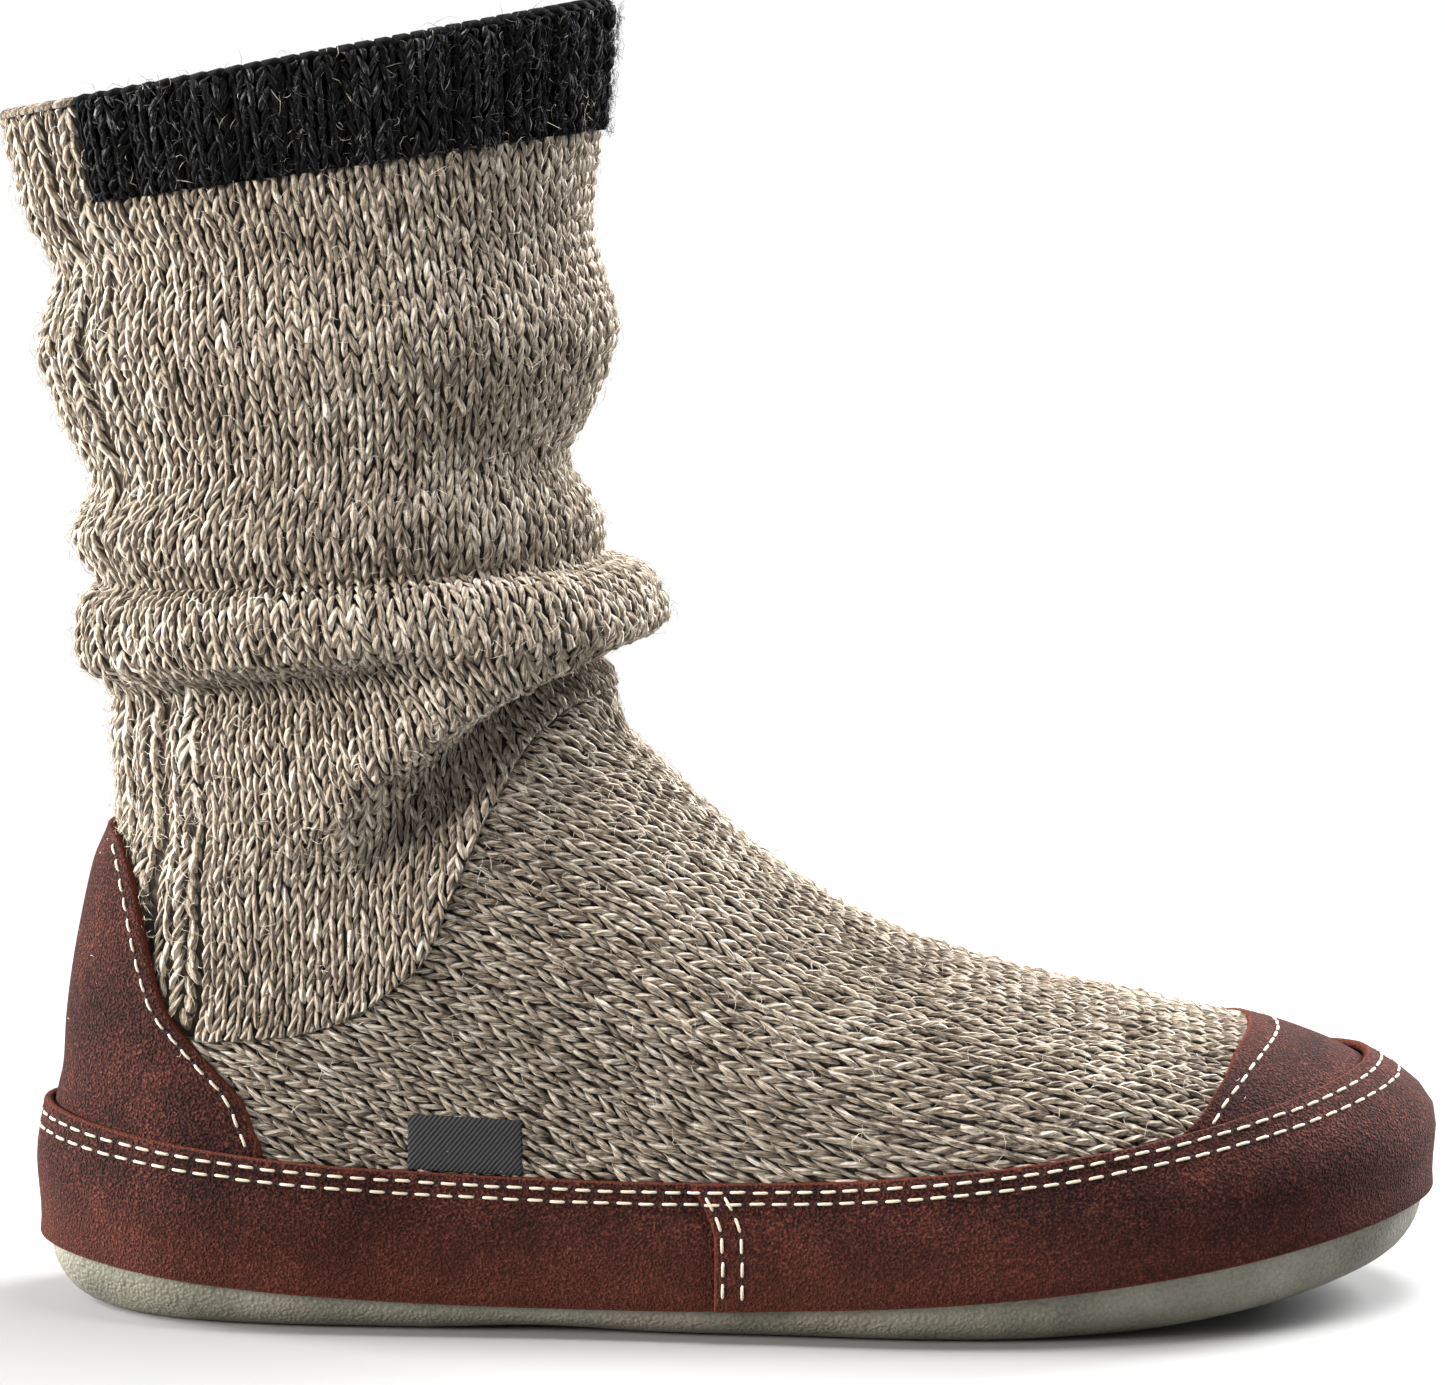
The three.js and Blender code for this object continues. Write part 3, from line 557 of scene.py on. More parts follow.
felt, tree = new_material("pressed_wool_felt")
spot = add_node(tree, "ShaderNodeTexCoord").outputs["Object"]
fibre = add_node(tree, "ShaderNodeTexNoise", {"Scale": 1400.0, "Detail": 4.0}, {"Vector": spot})
shade = set_ramp(
    add_node(tree, "ShaderNodeValToRGB", links={0: fibre.outputs[0]}),
    [(0.3, "#8f8370"), (0.55, "#b7aa94"), (0.75, "#cdc2ae")],
)
fuzz = add_node(tree, "ShaderNodeBump", {"Strength": 0.4, "Distance": 0.0003}, {"Height": fibre.outputs[0]})
shader = add_node(
    tree,
    "ShaderNodeBsdfPrincipled",
    {"Roughness": 0.95, "Sheen Weight": 0.3, "Sheen Roughness": 0.5},
    {"Base Color": shade.outputs[0], "Normal": fuzz.outputs[0]},
)
add_node(tree, "ShaderNodeOutputMaterial", links={"Surface": shader.outputs[0]})
footbed = add_piece("footbed_felt", *footbed_parts(), felt, "footbed_felt")
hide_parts("insole")

# Foot of the sock: knitted in one with rows that run down the instep, open underneath and at the ankle.
# A ground holds the wall's thickness, coloured darker than the loops as painted shade between them, and every
# knitted loop is laid over it as two plump legs.
# Undyed ragg wool: light, mid and dark fibres spun together, soft, with no gloss.
WOOL_SHADES = [(0.0, "#241c15"), (0.28, "#615243"), (0.52, "#8f7f6b"), (0.78, "#b9ae9d"), (1.0, "#e2dace")]
CHARCOAL_SHADES = [(0.0, "#020202"), (0.5, "#080808"), (0.75, "#101011"), (0.92, "#2b2b2d"), (1.0, "#6c6c70")]
PLY_TURNS = 3
PLY_LEAN = 24.0
# wave scale that gives one band to a turn round the yarn
PLY_WAVE = 0.0556
FIBRE_SIZE = 0.3
FLECK_SIZE = 1.3


def wool(name, stops, gap=1.0, bloom=0.22):
    """Woollen yarn: flecks along the yarn, plies that twist round it and band its colour with painted
    highlight and shade, and a soft bloom of fibres
    """
    made, tree = new_material(name)
    yarn = add_node(tree, "ShaderNodeAttribute", {"attribute_name": "yarn"}).outputs["Vector"]
    loop = add_node(tree, "ShaderNodeAttribute", {"attribute_name": "shade"}).outputs["Fac"]
    spot = add_node(tree, "ShaderNodeTexCoord").outputs["Object"]
    lean = {"Rotation": (0.0, 0.0, math.radians(PLY_LEAN))}
    turned = add_node(tree, "ShaderNodeMapping", lean, {"Vector": yarn})
    drawn = add_node(tree, "ShaderNodeMapping", {"Scale": (0.16, 1.0, 1.0)}, {"Vector": turned.outputs[0]})
    plies = add_node(
        tree,
        "ShaderNodeTexWave",
        {"bands_direction": "Y", "Scale": PLY_TURNS * PLY_WAVE, "Distortion": 1.6, "Detail": 1.0},
        {0: turned.outputs[0]},
    )
    fine = {"Scale": 1 / FIBRE_SIZE, "Detail": 2.0, "Roughness": 0.6}
    fibres = add_node(tree, "ShaderNodeTexNoise", fine, {0: drawn.outputs[0]})
    coarse = {"Scale": 1000 / FLECK_SIZE, "Detail": 4.0, "Roughness": 0.75}
    flecks = add_node(tree, "ShaderNodeTexNoise", coarse, {0: spot})
    patches = add_node(tree, "ShaderNodeTexNoise", {"Scale": 38.0, "Detail": 2.0}, {0: spot})
    # The plies' bands lighten and darken the colour along the twist: painted highlight and shade over the ply
    # relief of the bump.
    mixed = loop
    weights = (0.16, 1.0, 0.6, 0.3)
    parts = (plies.outputs[1], fibres.outputs[0], flecks.outputs[0], patches.outputs[0])
    for part, weight in zip(parts, weights):
        sum_up = {"operation": "MULTIPLY_ADD", 1: weight}
        mixed = add_node(tree, "ShaderNodeMath", sum_up, {0: part, 2: mixed}).outputs[0]
    # A gap below 1 keeps the colour near the ramp's dark end: painted shade, for the grounds between the
    # loops.
    spread = add_node(
        tree, "ShaderNodeMapRange", {"From Min": 1.14, "From Max": 1.74, "To Max": gap}, {"Value": mixed}
    )
    strands = add_node(
        tree,
        "ShaderNodeMath",
        {"operation": "MULTIPLY_ADD", 1: 0.8},
        {0: fibres.outputs[0], 2: plies.outputs[1]},
    )
    shade = set_ramp(add_node(tree, "ShaderNodeValToRGB", links={0: spread.outputs[0]}), stops)
    fuzz = add_node(
        tree, "ShaderNodeBump", {"Strength": 1.0, "Distance": 0.0005}, {"Height": strands.outputs[0]}
    )
    shader = add_node(
        tree,
        "ShaderNodeBsdfPrincipled",
        {"Roughness": 0.92, "IOR": 1.45, "Sheen Weight": bloom, "Sheen Roughness": 0.6},
        {"Base Color": shade.outputs[0], "Normal": fuzz.outputs[0]},
    )
    shader.inputs["Specular IOR Level"].default_value = bloom
    add_node(tree, "ShaderNodeOutputMaterial", links={"Surface": shader.outputs[0]})
    return made


ragg_wool = wool("ragg_wool_yarn", WOOL_SHADES)
# The grounds are the same wools darkened as painted shade, for the shade that falls between the loops.
ground_wool_painted_shade = wool("ragg_wool_ground_painted_shade", WOOL_SHADES, 0.2)
charcoal_wool = wool("charcoal_wool_yarn", CHARCOAL_SHADES, bloom=0.03)
charcoal_ground_painted_shade = wool("charcoal_wool_ground_painted_shade", CHARCOAL_SHADES, 0.4, 0.0)

# Seam between the foot knit and the leg knit: share from heel to toe, and the ring it crosses there
SEAM_LINE = [
    (0.0, 4.2),
    (0.12, 4.25),
    (0.21, 4.5),
    (0.264, 4.78),
    (0.316, 5.16),
    (0.425, 6.08),
    (0.55, 7.16),
    (0.653, 7.91),
    (0.774, 8.68),
    (0.865, 9.26),
    (0.929, 9.54),
    (1.0, 9.66),
]
seam_at = smooth_table(*np.array(SEAM_LINE).T)
GROUND_DEPTH = 0.55
GROUND_COLUMNS = 160
GROUND_ROWS = 36
SEAM_TUCK = 0.9
SEAM_PROUD = 1.1
SEAM_ROLL = 3.0
RING_RISE = 11.0
FOOT_WALE = 3.6
FOOT_COURSE = 3.5

# One leg of a loop: how far along it, its place across and down the loop (shares of wale and
# course), its lift and its half width in millimetres
LEG_PATH = [
    (0.0, 0.38, 0.9, -0.4, 0.1),
    (0.12, 0.36, 0.64, 0.25, 0.46),
    (0.4, 0.3, 0.14, 0.75, 0.68),
    (0.72, 0.17, -0.4, 0.52, 0.64),
    (0.92, 0.06, -0.84, -0.05, 0.42),
    (1.0, 0.02, -1.02, -0.4, 0.1),
]
LEG_SIDES = 5
LEG_FLAT = 0.8
# How much one leg differs from the next: its width, lean and length as shares, and its place
# sideways and in height, its place down the loop and its shade
WIDTH_SPREAD = 0.12
LEAN_SPREAD = 0.09
LENGTH_SPREAD = 0.06
PLACE_SPREAD = 0.16
DOWN_SPREAD = 0.28
SHADE_SPREAD = 0.06
LOOP_SHADE = 0.42


def yarn_faces(count, steps, sides):
    """Faces of many tapered tubes, each with a point at both ends and rings between"""
    per = 2 + (steps - 2) * sides
    base = np.arange(count)[:, None, None] * per
    s = np.arange(sides)
    nxt = (s + 1) % sides
    first = np.stack([np.zeros(sides, int), 1 + nxt, 1 + s], -1)
    end = per - 1
    tip = 1 + (steps - 3) * sides
    final = np.stack([np.full(sides, end), tip + s, tip + nxt], -1)
    k = (1 + np.arange(steps - 3) * sides)[:, None]
    body = np.stack([k + s, k + nxt, k + nxt + sides, k + s + sides], -1).reshape(-1, 4)
    tris = (np.concatenate([first, final])[None] + base).reshape(-1, 3)
    return [tris, (body[None] + base).reshape(-1, 4)]


def knit(place, across, along, wale, course, per_mm, thick=1.0, tone=0.0):
    """Loops of knitting laid over a map: place(across, along in mm) gives angle, ring and how far an
    edge tucks in. across and along list the loops' middles; per_mm turns millimetres across into
    the map's units."""
    count = len(across) * 2
    path = np.array(LEG_PATH)
    side = np.tile([-1.0, 1.0], len(across))[:, None]
    q0 = np.repeat(across, 2)[:, None]
    s0 = np.repeat(along, 2)[:, None]
    each = (count, 1)
    size = draw.normal(1.0, WIDTH_SPREAD, each)
    lean = draw.normal(0.0, LEAN_SPREAD, each) * (path[None, :, 0] - 0.5) * 2 * wale
    a = side * path[None, :, 1] * wale + lean + draw.normal(0, PLACE_SPREAD, each)
    d = path[None, :, 2] * course * draw.normal(1.0, LENGTH_SPREAD, each)
    d = d + draw.normal(0, DOWN_SPREAD, each)
    up = path[None, :, 3] * thick + draw.normal(0, PLACE_SPREAD, each)
    radius = path[None, :, 4] * size * thick * np.clip(wale / FOOT_WALE, 0.6, 1.1)
    step_a = np.gradient(a, axis=1)
    step_d = np.gradient(d, axis=1)
    run = np.hypot(step_a, step_d)
    turn = 2 * math.pi * (np.arange(LEG_SIDES) + 0.25) / LEG_SIDES
    flat = np.cos(turn)[None, None] * radius[..., None]
    high = np.sin(turn)[None, None] * radius[..., None] * LEG_FLAT
    rings = slice(1, len(path) - 1)
    qs = (a[..., None] - flat * (step_d / run)[..., None])[:, rings]
    ss = (d[..., None] + flat * (step_a / run)[..., None])[:, rings]
    hs = (up[..., None] + high)[:, rings]
    ends = [(a[:, k, None], d[:, k, None], up[:, k, None]) for k in (0, -1)]
    q = np.concatenate([ends[0][0], qs.reshape(count, -1), ends[1][0]], 1)
    s = np.concatenate([ends[0][1], ss.reshape(count, -1), ends[1][1]], 1)
    h = np.concatenate([ends[0][2], hs.reshape(count, -1), ends[1][2]], 1)
    angle, ring, sink = place(q0 + q * per_mm, s0 + s)
    kept = ~np.isnan(angle).any(1) & ~np.isnan(ring).any(1)
    points = on_skin(angle[kept], ring[kept], (h - sink)[kept])
    reach = np.concatenate([[0.0], np.repeat(path[rings, 0], LEG_SIDES), [1.0]]) * course * 1.4
    round_it = np.concatenate([[0.0], np.tile(turn, len(path) - 2), [0.0]])
    yarn = np.stack(
        [
            np.broadcast_to(reach, q.shape),
            np.broadcast_to(round_it, q.shape) * 0.9,
            np.broadcast_to(draw.uniform(0, 90, (count, 1)), q.shape),
        ],
        -1,
    )[kept]
    shade = np.broadcast_to(draw.normal(LOOP_SHADE + tone, SHADE_SPREAD, each), q.shape)[kept]
    faces = yarn_faces(int(kept.sum()), len(path), LEG_SIDES)
    return points.reshape(-1, 3), faces, {"yarn": yarn.reshape(-1, 3), "shade": shade.ravel()}


def wall_marks(points, tone=0.3):
    """Yarn and shade marks of a knitted ground, from its place in millimetres"""
    flat = points.reshape(-1, 3)
    yarn = np.stack([flat[:, 2], flat[:, 0] + flat[:, 1], 0 * flat[:, 0]], -1)
    return {"yarn": yarn, "shade": np.full(len(flat), tone)}


def foot_ground():
    angle = np.linspace(-math.pi, math.pi, GROUND_COLUMNS, endpoint=False)[None, :]
    seam = seam_at(share_at(angle)) - 0.01
    climb = np.linspace(0, 1, GROUND_ROWS)[:, None]
    ring = SOLE_TOP_RING + (seam - SOLE_TOP_RING) * climb
    angle = np.broadcast_to(angle, ring.shape)
    outer = on_skin(angle, ring, -GROUND_DEPTH)
    inner = in_wall(angle, ring, KNIT_WALL)
    return sheet_parts(outer, inner, True)


points, faces = foot_ground()
marks = wall_marks(points)
foot_piece = add_piece("foot_knit_ground", points, faces, ground_wool_painted_shade, "ragg_wool", marks)
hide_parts("foot_upper")

# The foot's rows lie in planes square to the instep line, and a wale keeps its distance from that line.
# Behind the ankle the line goes on through the leg, less and less steep, and the rows are shifted so
# that the wales stay in line at one depth under it.
INSTEP_SLOPE_MOST = 36.0
INSTEP_SLOPE_SHARE = 0.87
REAR_SLOPE = 23.0
REAR_TURN = 18
REAR_COURSES = 40
EVEN_DEPTH = 32.0
WALE_STEP = 0.5
WALE_LOW = -26.0
WALE_HIGH = 152.0
RAND_TOP_RING = 2.0


def instep_line():
    """Points and slopes of the instep line from behind the ankle to the toe, one for each course"""
    ring = np.linspace(seam_at(1.0), 1.9, 600)
    line = smooth_point(0 * ring, ring)[:, [0, 2]]
    far = np.concatenate([[0], np.cumsum(np.hypot(*np.diff(line, axis=0).T))])
    at = np.arange(0, far[-1], FOOT_COURSE)
    x, z = np.interp(at, far, line[:, 0]), np.interp(at, far, line[:, 1])
    slope = -np.degrees(np.arctan2(np.gradient(z), np.gradient(x)))
    first = int(np.argmax(slope < INSTEP_SLOPE_MOST))
    x, z, slope = x[first:], z[first:], slope[first:]
    kernel = np.ones(9) / 9
    slope = np.convolve(np.pad(slope, 4, mode="edge"), kernel, mode="valid") * INSTEP_SLOPE_SHARE
    lead = slope[0] + (REAR_SLOPE - slope[0]) * np.clip(np.arange(REAR_COURSES, 0, -1) / REAR_TURN, 0, 1)
    step_x = np.cos(np.radians(lead)) * FOOT_COURSE
    step_z = np.sin(np.radians(lead)) * FOOT_COURSE
    x = np.concatenate([x[0] - np.cumsum(step_x[::-1])[::-1], x])
    z = np.concatenate([z[0] + np.cumsum(step_z[::-1])[::-1], z])
    return x, z, np.radians(np.concatenate([lead, slope]))


def foot_map(sign):
    """Angle and ring of one side of the foot at each course (rows) and distance from the instep line"""
    x, z, slope = instep_line()
    rings = np.arange(1.6, COLLAR_RING, 0.04)
    reach = np.arange(WALE_LOW, WALE_HIGH, WALE_STEP)
    angles = sign * np.linspace(-0.15, math.pi * 0.93, 280)
    ring_net, angle_net = np.meshgrid(rings, angles, indexing="ij")
    net = smooth_point(angle_net, ring_net)
    table = np.full((2, len(x), len(reach)), np.nan)
    even = 0.0
    for k in list(range(REAR_COURSES, len(x))) + list(range(REAR_COURSES - 1, -1, -1)):
        cos, sin = math.cos(slope[k]), math.sin(slope[k])
        ahead = (net[..., 0] - x[k]) * cos - (net[..., 2] - z[k]) * sin
        change = (ahead[:-1] > 0) & (ahead[1:] <= 0)
        column = np.where(change.any(0))[0]
        row = change[:, column].argmax(0)
        part = ahead[row, column] / (ahead[row, column] - ahead[row + 1, column])
        ring = rings[row] + part * (rings[1] - rings[0])
        line = smooth_point(angles[column], ring)
        depth = (z[k] - line[:, 2]) * cos + (x[k] - line[:, 0]) * sin
        top = int(np.argmin(np.abs(angles[column])))
        far = np.concatenate([[0], np.cumsum(np.linalg.norm(np.diff(line, axis=0), axis=1))])
        far -= far[top]
        order = top + np.argsort(depth[top:])
        at_even = np.interp(EVEN_DEPTH, depth[order], far[order])
        if k == REAR_COURSES:
            even = at_even
        if k < REAR_COURSES:
            far += even - at_even
        order = np.argsort(far)
        far, ring, angle = far[order], ring[order], angles[column][order]
        inside = ring < seam_at(share_at(angle)) + SEAM_TUCK
        if inside.sum() > 3:
            limits = {"left": np.nan, "right": np.nan}
            table[0, k] = np.interp(reach, far[inside], angle[inside], **limits)
            table[1, k] = np.interp(reach, far[inside], ring[inside], **limits)
    return table


def between(table, column, row):
    """Values of a table between its rows and columns, nan outside"""
    inside = (column >= 0) & (column <= table.shape[1] - 1) & (row >= 0) & (row <= table.shape[0] - 1)
    i = np.minimum(np.where(inside, column, 0).astype(int), table.shape[1] - 2)
    j = np.minimum(np.where(inside, row, 0).astype(int), table.shape[0] - 2)
    u, v = column - i, row - j
    low = table[j, i] * (1 - u) + table[j, i + 1] * u
    high = table[j + 1, i] * (1 - u) + table[j + 1, i + 1] * u
    return np.where(inside, low * (1 - v) + high * v, np.nan)


def seam_edge(ring, seam, leg=1.0):
    """How far the knit tucks in past a seam at a ring; a leg's edge stands a little proud before it"""
    past = np.maximum((seam - ring) * leg, 0) * RING_RISE
    near = np.abs(ring - seam) * RING_RISE / SEAM_ROLL
    return past - np.exp(-near * near) * SEAM_PROUD * (leg > 0)


def foot_place(table):
    """A map of angle and ring over one side of the foot; past the ankle seam the knit tucks in"""

    def place(across, along):
        column = (across - WALE_LOW) / WALE_STEP
        row = along / FOOT_COURSE
        angle = between(table[0], column, row)
        ring = between(table[1], column, row)
        seam = seam_at(share_at(angle))
        return angle, np.minimum(ring, seam), seam_edge(ring, seam, -1.0)

    return place


for name, sign in (("outer", -1), ("inner", 1)):
    table = foot_map(sign)
    place = foot_place(table)
    wales = np.arange(math.ceil(WALE_LOW / FOOT_WALE) + 0.5, WALE_HIGH / FOOT_WALE) * FOOT_WALE
    courses = np.arange(table.shape[1]) * FOOT_COURSE
    across, along = [v.ravel() for v in np.meshgrid(wales, courses)]
    angle, ring, sink = place(across, along)
    seen = ~np.isnan(ring) & (ring > RAND_TOP_RING - 0.25) & (sink < FOOT_COURSE / 2)
    seen &= (across > 0) | (along < REAR_COURSES * FOOT_COURSE)
    loops = knit(place, across[seen], along[seen], FOOT_WALE, FOOT_COURSE, 1.0)
    add_piece("foot_knit_" + name, loops[0], loops[1], ragg_wool, "ragg_wool", loops[2])

# Leg of the sock: the same ragg wool, knitted downward from the cuff, so that its loops point up.
# It slouches in a roll above the ankle and is sewn to the foot along a curved seam.
CUFF_HEIGHT = 24.5
LEG_WALE = 3.6
LEG_COURSE = 3.05
COURSE_STEP = 0.5
collar_heights = front_up_at(np.array([COLLAR_RING - 1, COLLAR_RING]))
cuff_start = COLLAR_RING - CUFF_HEIGHT / (collar_heights[1] - collar_heights[0])


def edge_angle(ring):
    return angle_at(panel_at(ring))


def column_map(top, bottom, angles_at, columns):
    """Angle and ring down each column from its top ring, at equal steps along the folded knit"""
    tables = np.full((2, 800, columns), np.nan)
    longest = 0
    for k in range(columns):
        low = bottom(k / (columns - 1))
        ring = np.linspace(top, low, 900)
        angle = angles_at(ring, k / (columns - 1))
        line = looked_up(skin_points, angle, ring)
        far = np.concatenate([[0], np.cumsum(np.linalg.norm(np.diff(line, axis=0), axis=1))])
        at = np.arange(0, far[-1], COURSE_STEP)
        tables[0, : len(at), k] = np.interp(at, far, angle)
        tables[1, : len(at), k] = np.interp(at, far, ring)
        longest = max(longest, len(at))
    return tables[:, :longest]


# Distances in millimetres round each ring from the front, and the angles they come to
LEG_LOW_RING = 3.0
TABLE_STEP = 0.25
ARC_STEP = 1.0
table_rings = np.arange(LEG_LOW_RING, COLLAR_RING + TABLE_STEP / 2, TABLE_STEP)
turns = np.linspace(0, math.pi, 400)
ring_steps = np.linalg.norm(np.diff(smooth_point(turns[None], table_rings[:, None]), axis=1), axis=2)
arcs = np.concatenate([np.zeros((len(table_rings), 1)), np.cumsum(ring_steps, axis=1)], 1)
half_girth = np.array([np.interp(edge_angle(r), turns, arc) for r, arc in zip(table_rings, arcs)])
angle_table = np.array([np.interp(np.arange(0, arcs.max(), ARC_STEP), arc, turns) for arc in arcs])


def leg_angle(ring, share):
    """Angle of a place round the leg: even steps from the panel's edges, no wider below the ankle"""
    ring, share = np.broadcast_arrays(np.asarray(ring, float), np.asarray(share, float))
    side = 2 * share - 1
    reach = np.interp(np.maximum(ring, float(seam_at(1.0))), table_rings, half_girth)
    far = np.interp(ring, table_rings, half_girth) - (1 - np.abs(side)) * reach
    row = (ring - LEG_LOW_RING) / TABLE_STEP
    return np.sign(side) * between(angle_table, np.maximum(far, 0) / ARC_STEP, row)


def leg_bottom(share):
    ring = 6.0
    for _ in range(12):
        ring = float(seam_at(share_at(leg_angle(ring, share))))
    return ring


def below_seam(share):
    return leg_bottom(share) - SEAM_TUCK


girth_line = smooth_point(np.linspace(-1, 1, 200) * edge_angle(cuff_start), np.full(200, cuff_start))
leg_girth = np.linalg.norm(np.diff(girth_line, axis=0), axis=1).sum()
leg_wales = round(leg_girth / LEG_WALE)
leg_table = column_map(cuff_start, below_seam, leg_angle, leg_wales + 1)


def leg_place(across, along):
    """Angle and ring of a place on the leg; past its seams the knit tucks in"""
    column = np.clip(across, 0, leg_wales)
    row = np.maximum(along, 0)
    angle, ring = [between(leg_table[k], column, row / COURSE_STEP) for k in (0, 1)]
    seam = seam_at(share_at(angle))
    sink = seam_edge(ring, seam) + np.abs(across - column) * LEG_WALE + row - along
    return angle, np.maximum(ring, seam), sink


LEG_GROUND_COLUMNS = 131
LEG_GROUND_ROWS = 96


def leg_ground():
    share = np.linspace(0, 1, LEG_GROUND_COLUMNS)[None, :]
    climb = np.linspace(0, 1, LEG_GROUND_ROWS)[:, None]
    low = np.array([leg_bottom(s) + 0.01 for s in share[0]])[None, :]
    ring = low + (cuff_start - low) * climb
    angle = leg_angle(ring, share)
    return sheet_parts(on_skin(angle, ring, -GROUND_DEPTH), in_wall(angle, ring, KNIT_WALL))


points, faces = leg_ground()
marks = wall_marks(points)
leg_piece = add_piece("leg_knit_ground", points, faces, ground_wool_painted_shade, "ragg_wool", marks)
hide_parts("shaft")
middles = np.arange(leg_wales) + 0.5
courses = np.arange(LEG_COURSE * 0.35, leg_table.shape[1] * COURSE_STEP, LEG_COURSE)
outer_half = middles <= leg_wales / 2
for name, chosen in (("outer", middles[outer_half]), ("inner", middles[~outer_half])):
    across, along = [v.ravel() for v in np.meshgrid(chosen, courses)]
    seen = leg_place(across, along)[2] < LEG_COURSE / 2
    loops = knit(leg_place, across[seen], along[seen], LEG_WALE, LEG_COURSE, 1 / LEG_WALE)
    add_piece("leg_knit_" + name, loops[0], loops[1], ragg_wool, "ragg_wool", loops[2])

# Back panel: the same wool in broad ribs, two wales to a rib, from the heel seam up to the collar.
# Its sides and its top are tucked in where they meet the leg and the collar.
PANEL_RIB = 9.6
PANEL_COURSE = 3.2
# a rib's two wales, from its middle, and how wide each is, as shares of the rib
PANEL_WALES = (-0.21, 0.21)
PANEL_WALE = 0.42
RIB_DEPTH = 2.2
RIB_ROUND = 0.5
RIB_STEPS = 8


def rib_sink(column):
    """How deep a ribbed surface lies at a place across its ribs, counted in ribs from a furrow"""
    return RIB_DEPTH * (1 - (0.5 - 0.5 * np.cos(2 * math.pi * column)) ** RIB_ROUND)


def panel_angle(ring, share):
    edge = edge_angle(ring)
    return edge + (2 * math.pi - 2 * edge) * share


def panel_bottom(share):
    return float(seam_at(0.06)) - 0.1


girth_line = smooth_point(panel_angle(cuff_start, np.linspace(0, 1, 100)), np.full(100, cuff_start))
panel_girth = np.linalg.norm(np.diff(girth_line, axis=0), axis=1).sum()
panel_ribs = 2 * int(panel_girth / 2 / PANEL_RIB) + 1
panel_table = column_map(COLLAR_RING, panel_bottom, panel_angle, panel_ribs * RIB_STEPS + 1)


def panel_place(across, along):
    """Angle and ring of a place on the back panel; its sides and its top tuck in"""
    column = np.clip(across, 0, panel_ribs)
    row = np.maximum(along, 0)
    angle, ring = [between(panel_table[k], column * RIB_STEPS, row / COURSE_STEP) for k in (0, 1)]
    return angle, ring, rib_sink(column) + np.abs(across - column) * PANEL_RIB + row - along


def panel_ground():
    share = np.linspace(0, 1, panel_ribs * 6 + 1)[None, :]
    ring = np.linspace(panel_bottom(0) + 0.1, COLLAR_RING, 110)[:, None]
    angle = panel_angle(ring, share)
    ring = np.broadcast_to(ring, angle.shape)
    lift = np.broadcast_to(-rib_sink(share * panel_ribs) - GROUND_DEPTH * 0.6, angle.shape)
    return sheet_parts(on_skin(angle, ring, lift), in_wall(angle, ring, KNIT_WALL + 1.0))


points, faces = panel_ground()
marks = wall_marks(points, 0.5)
panel_piece = add_piece("back_panel_ground", points, faces, ground_wool_painted_shade, "ragg_wool", marks)
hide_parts("back_rib")
middles = (np.arange(panel_ribs) + 0.5)[:, None] + np.array(PANEL_WALES)[None, :]
courses = np.arange(0.6, panel_table.shape[1] * COURSE_STEP, PANEL_COURSE)
across, along = [v.ravel() for v in np.meshgrid(middles.ravel(), courses)]
wale = PANEL_RIB * PANEL_WALE
loops = knit(panel_place, across, along, wale, PANEL_COURSE, 1 / PANEL_RIB, 0.85, tone=0.06)
add_piece("back_panel_knit", loops[0], loops[1], ragg_wool, "ragg_wool", loops[2])

# Cuff: a charcoal band of the same yarn in broad ribs, from one edge of the back panel to the other.
# It is knitted on above the leg and stands a little proud of it, with its lower edge tucked in.
CUFF_RIB = 11.4
CUFF_COURSE = 2.8
CUFF_PROUD = 1.7
# a rib's two wales and the furrow beside them, from its middle, and how wide each is, as shares
CUFF_WALES = (-0.19, 0.19)
CUFF_FURROWS = (-0.5,)
CUFF_WALE = 0.36


def cuff_bottom(share):
    return cuff_start - SEAM_TUCK


girth_line = smooth_point(leg_angle(COLLAR_RING, np.linspace(0, 1, 200)), np.full(200, COLLAR_RING))
cuff_girth = np.linalg.norm(np.diff(girth_line, axis=0), axis=1).sum()
cuff_ribs = 2 * round(cuff_girth / 2 / CUFF_RIB)
cuff_table = column_map(COLLAR_RING, cuff_bottom, leg_angle, cuff_ribs * RIB_STEPS + 1)


def cuff_place(across, along):
    """Angle and ring of a place on the cuff; its edges tuck in"""
    column = np.clip(across, 0, cuff_ribs)
    row = np.maximum(along, 0)
    angle, ring = [between(cuff_table[k], column * RIB_STEPS, row / COURSE_STEP) for k in (0, 1)]
    over = np.maximum(cuff_start - ring, 0)
    sink = rib_sink(column) - CUFF_PROUD + over * RING_RISE
    sink = sink + np.abs(across - column) * CUFF_RIB + row - along
    return angle, ring + over, sink


def cuff_ground():
    share = np.linspace(0, 1, cuff_ribs * RIB_STEPS + 1)[None, :]
    ring = np.linspace(cuff_start + 0.02, COLLAR_RING, 16)[:, None]
    angle = leg_angle(ring, share)
    ring = np.broadcast_to(ring, angle.shape)
    lift = np.broadcast_to(CUFF_PROUD - rib_sink(share * cuff_ribs) - GROUND_DEPTH * 0.6, angle.shape)
    return sheet_parts(on_skin(angle, ring, lift), in_wall(angle, ring, KNIT_WALL + 0.9))


